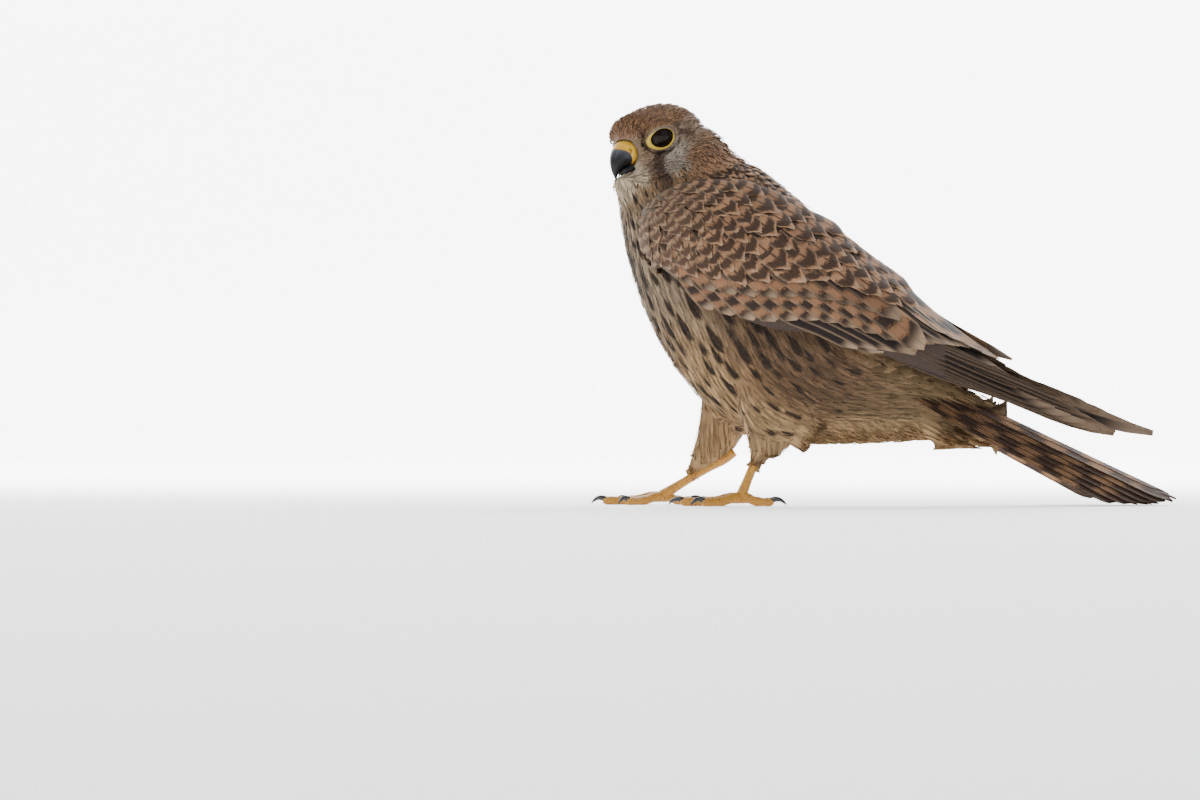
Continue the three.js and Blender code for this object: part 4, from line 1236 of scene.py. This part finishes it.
def shoulder_lie(points, normals):
    """Along the sheet and downwards, steeper near the wrist."""
    at = np.clip(points[:, 0] - MIDDLE[0], -118, 20)
    row, further = sheet_row(at), sheet_row(at + 4)
    share = np.clip((points[:, 2] - row[:, 1]) / (row[:, 2] - row[:, 1]), 0, 1)
    slope = (blend(further[:, 1], further[:, 2], share) - blend(row[:, 1], row[:, 2], share)) / 4
    slope = slope + 0.12 * np.sin(3.1 * np.arange(len(at)))
    steep = 0.2 + 0.85 * ease((-20 - at) / 80)
    return square_to(np.stack([np.ones(len(at)), np.zeros(len(at)), slope - steep], 1), normals)


def shoulder_feathers(side_name, side, rings):
    """Lesser coverts and scapulars, small at the shoulder and long over the back."""
    quads = grid_quads(rings.shape[0], rings.shape[1], closed=True)
    if side > 0:
        quads = quads[:, ::-1]
    tree = BVHTree.FromPolygons(rings.reshape(-1, 3).tolist(), quads.tolist())
    roots, gap = shoulder_roots()
    places = side_turned(sheet_point(*roots.T) + 2 * sheet_out(*roots.T), side)
    lengths = gap * rng.uniform(2.4, 2.8, len(gap))
    rows = traced(places, lengths, 7, shoulder_lie, tree)
    colours = wing_tints(dict(ground="mantle", mark="umber", marks=(0.12, 0.24, 0.5)), len(gap))
    wrist = ease((-88 - roots[:, 0]) / 22)[:, None]
    colours[0] = blend(colours[0], CLAY["breast"] * 0.75, wrist * 0.6)
    colours[1] = blend(colours[1], CLAY["umber"] * 2, wrist * 0.7)
    strip = np.stack([0.05 + 0.9 * (roots[:, 0] + 120) / 130, 0.05 + 0.9 * np.clip(roots[:, 1], 0, 1)], 1)
    shape = dict(lift=(1.0, 2.5), cup=0.1, fray=0.04)
    plumage(f"shoulder_{side_name}", rows, lengths, gap * 0.68, colours, strip, 9, **shape)


# %% Both wings
def make_wing(side_name, side, tip_x):
    for row in WING_ROWS:
        wing_row(row, side_name, side, tip_x)
    core, rings = wing_core(side_name, side)
    shoulder_feathers(side_name, side, rings)
    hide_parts(f"wing_{side_name}")


make_wing("left", 1, NEAR_TIP)
make_wing("right", -1, FAR_TIP)

# %% [markdown]
# ## Tail
# Six pairs of feathers lie over one another like a closed fan, the middle pair on top. They are barred,
# with one broad dark band before worn, thin tips.

# %% Tail feathers
def tail_point(along, across, height):
    roof = TAIL_ROOF * (np.sqrt(across**2 + 36) - 6)
    c, s = math.cos(TAIL_SLOPE), math.sin(TAIL_SLOPE)
    up = height - roof
    x, z = TAIL_BASE[0] + along * c + up * s, TAIL_BASE[1] - along * s + up * c
    return np.stack([x, across + 0 * along, z], -1)


def make_tail():
    steps, columns = 30, 11
    run = np.linspace(0, 1, steps)[:, None]
    across = np.linspace(-1, 1, columns)[None]
    faces = []
    for pair in range(6):
        for side in (-1, 1):
            length = TAIL_LENGTH - 2.2 * pair**1.5 - (2.5 if side > 0 else 0)
            blade = blade_width(run, 0.3, 0.4, 0.9, 0.11, 1.7, 0.02)
            middle = side * blend(0.8 + 0.9 * pair, 3.4 + 3.1 * pair, run)
            worn = rng.uniform(0, 4.5, (1, columns)) + 4.5 * np.abs(across) ** 2
            along = -14 + (length + 14) * run - worn * run**14
            level = (-pair * 1.2 + (0.5 if side > 0 else 0)) + 0 * run
            wide = middle + across * 10.2 * blade
            top = tail_point(along, wide, level + 0.25 - 0.25 * across**2)
            under = tail_point(along, wide, level - 0.05 - 0.25 * across**2)
            faces.append(np.stack([top, under]))
    both = np.stack(faces)
    both[..., 2] = np.maximum(both[..., 2], 0.05)
    count = len(both)
    ground = np.repeat(CLAY["tail"][None], count, 0) * rng.normal(1, 0.06, (count, 1))
    mark = np.repeat((CLAY["umber"] * 1.2)[None], count, 0)
    rim = np.repeat(CLAY["umber"][None], count, 0)
    marks = np.c_[np.repeat(np.array([(0.0, 0.7, 0.85)]), count, 0), rng.random(count)]
    piece = vane_solid("tail_feathers", both, (ground, mark, rim, marks), tip_dark=0.85)
    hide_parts("tail")


make_tail()

# %% [markdown]
# ## Bill, cere and eyes
# The bill is horn over bone, and its base is wrapped in soft yellow cere with the nostrils. The eye is
# a large dark ball behind bare yellow lids. They are made again here with many more points than the
# frame's solids.

# %% Bill and cere
NOSTRIL = {"forward": 15.0, "hole_side": 5.0, "knob_side": 4.1, "up": -1.2, "hole": 1.25, "knob": 0.95}


def bill_part(name, table, start, end, material, swell=0.0, power=2.3):
    place = np.linspace(start, end, 40)
    rows = smooth_rows(table, place)
    top = np.stack([rows[:, 0], 0 * place, rows[:, 1]], 1)
    edge = np.stack([rows[:, 2], 0 * place, rows[:, 3]], 1)
    rise = (top - edge) / 2
    rise = rise * (1 + swell / np.maximum(0.3, np.linalg.norm(rise, axis=1, keepdims=True)))
    sides = np.stack([0 * place, rows[:, 4] + swell, 0 * place], 1)
    rings = from_head(ovals((top + edge) / 2, rise, sides, 40, power))
    forward = np.repeat(np.concatenate([place[:1], place, place[-1:]])[:, None] / (len(table) - 1), 40, 1)
    # The horn's colours shift back along the top and forward underneath: the top stays blue grey longer as
    # a painted highlight, the underside darkens sooner as painted shade
    if material is BILL:
        forward = forward - 0.13 * np.cos(np.linspace(0, 2 * np.pi, 40, endpoint=False))[None]
    tints = {"forward": np.repeat(forward.reshape(-1, 1), 3, 1)}
    piece = closed_tube(name, rings, material, tints)
    return piece


def cut_nostrils(piece):
    """Round holes in the cere, each with a dark knob inside."""
    angle = np.linspace(0, math.pi, 14)[1:-1]
    for side, name in ((1, "left"), (-1, "right")):
        middle = np.array((NOSTRIL["forward"], side * NOSTRIL["knob_side"], NOSTRIL["up"]))
        centres = middle + np.cos(angle)[:, None] * (0, 0, NOSTRIL["knob"])
        ring = (np.sin(angle) * NOSTRIL["knob"])[:, None]
        knob = from_head(ovals(centres, (1, 0, 0) * ring, (0, 1, 0) * ring, 20))
        closed_tube(f"nostril_{name}", knob, CLAW)
        bpy.ops.mesh.primitive_uv_sphere_add(segments=24, ring_count=16, radius=NOSTRIL["hole"] * MM)
        hole = bpy.context.object
        middle = (NOSTRIL["forward"], side * NOSTRIL["hole_side"], NOSTRIL["up"])
        hole.location = Vector(from_head(middle) * MM)
        cut = piece.modifiers.new("nostril", "BOOLEAN")
        cut.operation = "DIFFERENCE"
        cut.object = hole
        bpy.context.view_layer.update()
        applied(piece)
        bpy.data.objects.remove(hole)


upper = bill_part("bill_upper_fine", UPPER_BILL, 1.5, 7, BILL)
lower = bill_part("bill_lower_fine", LOWER_BILL, 0, 4, BILL)
cere = bill_part("cere_fine", UPPER_BILL, 0.1, 1.68, CERE, swell=0.2)
cut_nostrils(cere)
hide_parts("bill_upper")
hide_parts("bill_lower")
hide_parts("cere")
print("bill made")


# %% Eyes and lids
# Section of a lid: share of the way from its opening to its rim, and height over the ball
LID_PROFILE = [
    (0, 0.0), (0.06, 0.55), (0.16, 0.85), (0.3, 0.8), (0.45, 0.45),
    (0.62, 0.15), (0.8, -0.4), (1, -1.2), (1, -3), (0.5, -1.6),
]


def eye_frame(side):
    """The eye's centre, and its directions out, up and across, in the head's frame."""
    out = unit(np.array([math.sin(EYE_TURN), side * math.cos(EYE_TURN), -0.06]))
    up = unit(np.array([0, 0, 1.0]) - out * out[2])
    across = np.cross(up, out) * side
    return np.array([EYE_CENTRE[0], side * EYE_CENTRE[1], EYE_CENTRE[2]]), out, up, across


print("the left eye looks along", eye_frame(1)[1].round(2))


# %% Feathers at the lids
def lid_coat(name, eye, inner, outer, inside, turn):
    """Tiny feathers that start on the outer part of the lids and lie back over the head."""
    centre, out, up, across = eye
    roots, lies = [], []
    for share in (0.55, 0.72, 0.9, 1.08):
        flat = inner + (outer - inner) * (share + 0.3 * np.maximum(0, -np.cos(turn))[:, None])
        depth = inside + 0.3 - 1.6 * max(0, share - 0.6) / 0.4
        roots.append(centre + across * flat[:, :1] + up * flat[:, 1:] + out * depth[:, None])
        radial = unit(across * flat[:, :1] + up * flat[:, 1:])
        lies.append(unit(radial * 0.8 + across * 1.0 - out * 0.35))
    roots, lies = np.concatenate(roots), np.concatenate(lies)
    roots = roots + rng.normal(0, 0.12, roots.shape)
    lengths = rng.uniform(1.8, 2.6, len(roots))
    run = np.linspace(0, 1, 4)[None, :, None] * lengths[:, None, None]
    middles = roots[:, None] + lies[:, None] * run - out * (run / 9) ** 2 * 4
    normals = np.repeat(out[None, None], len(roots), 0) + 0 * middles
    sides = unit(np.cross(normals, np.repeat(lies[:, None], 4, 1)))
    places = from_head(middles[:, 2])
    rows = [from_head(middles), normals @ HEAD_AXES, sides @ HEAD_AXES]
    half = rng.uniform(0.32, 0.5, len(roots))
    colours = coat_colours(places)
    shape = dict(lift=(0, 0.35), fray=0.15)
    plumage(f"coat_lids_{name}", rows, lengths, half, colours, unrolled(places), 4, **shape)


# %% Eyeballs and lids
def make_eyeball(name, eye):
    """A ball that bulges a little at the front."""
    centre, out, up, across = eye
    angle = np.linspace(0, math.pi, 40)[1:-1]
    bulge = EYE_RADIUS + 0.3 * ease((np.cos(angle) - 0.6) / 0.35)
    centres = centre + out * (np.cos(angle) * bulge)[:, None]
    ring = (np.sin(angle) * bulge)[:, None]
    piece = closed_tube(f"eyeball_{name}", from_head(ovals(centres, up * ring, across * ring, 48)), EYE)
    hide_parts(f"eye_{name}")


def make_lids(name, side, eye):
    """A soft bare ring round the eye, widest in front, that ends under the feathers."""
    centre, out, up, across = eye
    turn = np.linspace(0, 2 * np.pi, 96, endpoint=False)
    front = np.maximum(0, -np.cos(turn)) ** 3
    inner = np.stack([LID_OPENING[0] * np.cos(turn), LID_OPENING[1] * np.sin(turn)], 1)
    outer = np.stack([(LID_RIM[0] + 1.2 * front) * np.cos(turn), LID_RIM[1] * np.sin(turn)], 1)
    clear = EYE_RADIUS + 0.35
    inside = np.sqrt(np.maximum(4, clear**2 - np.sum(inner**2, 1)))
    ripple = 0.12 * np.cos(turn * 30)
    loops = []
    for share, depth in LID_PROFILE:
        flat = inner + (outer - inner) * share
        height = inside + depth + ripple * math.sin(math.pi * min(1, share * 1.4))
        loops.append(centre + across * flat[:, :1] + up * flat[:, 1:] + out * height[:, None])
    points = from_head(np.stack(loops, 1))
    bare_edge = 0.1 + 0.58 * np.maximum(0, -np.cos(turn)) ** 2 + 0.2 * np.maximum(0, -np.sin(turn))
    feathered = np.stack([ease((share - bare_edge) / 0.12 + 0.5) for share, _ in LID_PROFILE], 1)
    row = np.arange(len(LID_PROFILE))
    following = np.roll(row, -1)
    last = (len(turn) - 1) * len(LID_PROFILE)
    seam = np.stack([last + row, last + following, following, row], 1)
    quads = np.concatenate([grid_quads(len(turn), len(LID_PROFILE), closed=True), seam])
    tints = {"feathered": np.repeat(feathered.reshape(-1, 1), 3, 1)}
    lids = mesh_piece(f"lid_ring_{name}", points, quads if side > 0 else quads[:, ::-1], LIDS, tints=tints)
    lid_coat(name, eye, inner, outer, inside, turn)
    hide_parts(f"lids_{name}")


for name, side in (("left", 1), ("right", -1)):
    make_eyeball(name, eye_frame(side))
    make_lids(name, side, eye_frame(side))
print("eyes made")

# %% [markdown]
# ## Legs and feet
# The bare part of the leg and the toes are yellow and scaly, with pads below and curved black claws.
# The lower end of each thigh's coat hides the upper end of the shank.

# %% Tubes through rows of points
def tube_rows(name, rows, material, power=2.0, count=24, steps=40):
    """A tube through rows of x, y, z, height radius and side radius."""
    place = np.linspace(0, len(rows) - 1, steps)
    table = smooth_rows(np.array(rows, float), place)
    centres = table[:, :3] + MIDDLE
    ahead = unit(np.gradient(centres, axis=0))
    side = np.repeat(np.array([[0.0, 1.0, 0.0]]), steps, 0)
    lean = np.abs(ahead[:, 1:2]) > 0.75
    side = np.where(lean, np.array([[1.0, 0, 0]]), side)
    side = square_to(side, ahead)
    up = np.cross(ahead, side)
    rings = ovals(centres, up * table[:, 3:4], side * table[:, 4:5], count, power)
    rings[..., 2] = np.maximum(rings[..., 2], 0.02)
    piece = closed_tube(name, rings, material)
    return piece


# %% Toes and claws
def toe_place(foot, toe, distance, height):
    turn = math.radians(TOE_TURNS[toe] * foot["side"] + foot["turn"])
    return foot["hub"][0] - distance * math.cos(turn), foot["hub"][1] - distance * math.sin(turn), height


def toe_rows(foot, toe):
    length = TOE_LENGTHS[toe]
    hub = foot["hub"][2]
    profile = np.array([
        (-1.5, hub - 0.8, 1.8), (-0.5, hub - 0.7, 2.5), (length * 0.22, hub - 0.7, 2.3),
        (length * 0.45, 2.4, 2.2), (length * 0.66, 2, 2.0), (length * 0.86, 1.9, 2.05),
        (length, 1.9, 1.7), (length + 0.9, 1.9, 0.8),
    ])
    fine = smooth_rows(profile, np.linspace(0, len(profile) - 1, 60))
    knuckle = 1 + 0.07 * np.cos(np.linspace(0, 1, 60) * np.pi * 8)
    return [(*toe_place(foot, toe, d, h), r * k, r * k * 0.95) for (d, h, r), k in zip(fine, knuckle)]


def claw_rows(foot, toe):
    reach = CLAW_REACH[toe]
    start = TOE_LENGTHS[toe] - 1.2
    profile = [
        (start, 2.3, 1.3, 1.1), (start + reach * 0.3, 3.2, 1.3, 0.95),
        (start + reach * 0.62, 3.1, 0.95, 0.7), (start + reach * 0.88, 1.8, 0.55, 0.42),
        (start + reach, 0.5, 0.12, 0.1),
    ]
    return [(*toe_place(foot, toe, d, h), tall, wide) for d, h, tall, wide in profile]


# %% Both legs
def make_leg(name, foot):
    heel, hub = np.array(foot["heel"]), np.array(foot["hub"])
    rows = [(*blend(heel, hub, s), a, b) for s, a, b in (
        (-0.06, 2.4, 2.2), (0.12, 3.1, 2.6), (0.35, 2.3, 2.0), (0.7, 2.1, 1.9), (1, 2.6, 2.4))]
    shank = tube_rows(f"shank_{name}_fine", rows, SCALY, steps=60)
    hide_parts(f"shank_{name}")
    toes = [tube_rows(f"toe_{name}_{toe}", toe_rows(foot, toe), SCALY, steps=60) for toe in TOE_LENGTHS]
    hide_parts(f"foot_{name}")
    for toe in TOE_LENGTHS:
        claw = tube_rows(f"claw_{name}_{toe}_fine", claw_rows(foot, toe), CLAW)
        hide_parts(f"claw_{name}_{toe}")


for name, foot in FEET.items():
    make_leg(name, foot)
print("legs made")

# %% [markdown]
# ## Studio
# A pale floor runs up into a pale wall, and the paper glows as painted light, weakly on the floor near the
# bird and strongly on the far wall. A broad light stands high at the left, with a weaker one at the right.
# The camera looks at the bird's left side from just above the floor.

# %% Floor, wall and lights
def make_stage():
    profile = [(-1.4, 0), (0.9, 0), (1.3, 0.06), (1.6, 0.3), (1.72, 0.8), (1.75, 2.4)]
    curve = smooth_rows(np.array(profile), np.linspace(0, len(profile) - 1, 60))
    x = np.array([-3.5, 3.5])
    y, z = np.repeat(curve[:, :1], 2, 1), np.repeat(np.maximum(0, curve[:, 1:]), 2, 1)
    points = np.stack([np.repeat(x[None], 60, 0), y, z], -1)
    glowing_paper = plain_material("glowing_paper", (0.92, 0.92, 0.93), 0.9)
    glow = glowing_paper.node_tree.nodes["Principled BSDF"]
    glow.inputs["Emission Color"].default_value = (1, 1, 1, 1)
    place = glowing_paper.node_tree.nodes.new("ShaderNodeSeparateXYZ")
    glowing_paper.node_tree.links.new(object_place(glowing_paper.node_tree), place.inputs[0])
    # Painted light: the paper glows, about 0.7 on the floor at the bird and rising to 5.5 on the far wall
    strength = ramp(glowing_paper.node_tree, place.outputs[1], -0.1, 1.2, 0.7, 5.5)
    glowing_paper.node_tree.links.new(strength, glow.inputs["Emission Strength"])
    floor = mesh_piece("floor", points / MM, grid_quads(60, 2)[:, ::-1], glowing_paper)
    floor.parent = None
    lights = [
        ("key", (-0.9, -1.1, 1.3), 1.1, 24),
        ("fill", (1.2, -1.3, 0.7), 1.4, 5),
        ("back", (0.5, 0.9, 1.5), 1.0, 16),
    ]
    for name, place, size, power in lights:
        lamp = bpy.data.lights.new(name, "AREA")
        lamp.size = size
        lamp.energy = power
        holder = bpy.data.objects.new(name, lamp)
        holder.location = place
        holder.rotation_euler = (Vector((0, 0, 0.1)) - Vector(place)).to_track_quat("-Z", "Y").to_euler()
        bpy.context.scene.collection.objects.link(holder)
    world = bpy.context.scene.world or bpy.data.worlds.new("studio")
    bpy.context.scene.world = world
    world.use_nodes = True
    world.node_tree.nodes["Background"].inputs["Color"].default_value = (0.86, 0.92, 1, 1)
    world.node_tree.nodes["Background"].inputs["Strength"].default_value = 0.45


make_stage()
print("stage made")


# %% Camera
def make_camera():
    distance = 1.7
    wide = 0.558
    view = bpy.data.cameras.new("camera")
    view.sensor_width = 36
    view.lens = view.sensor_width * distance / wide
    holder = bpy.data.objects.new("camera", view)
    middle = Vector((-0.1335, 0, 0.049))
    holder.location = (middle.x, -distance, 0.03)
    holder.rotation_euler = (middle - holder.location).to_track_quat("-Z", "Y").to_euler()
    bpy.context.scene.collection.objects.link(holder)
    bpy.context.scene.camera = holder


make_camera()
print("camera at", tuple(round(value, 3) for value in bpy.context.scene.camera.location))
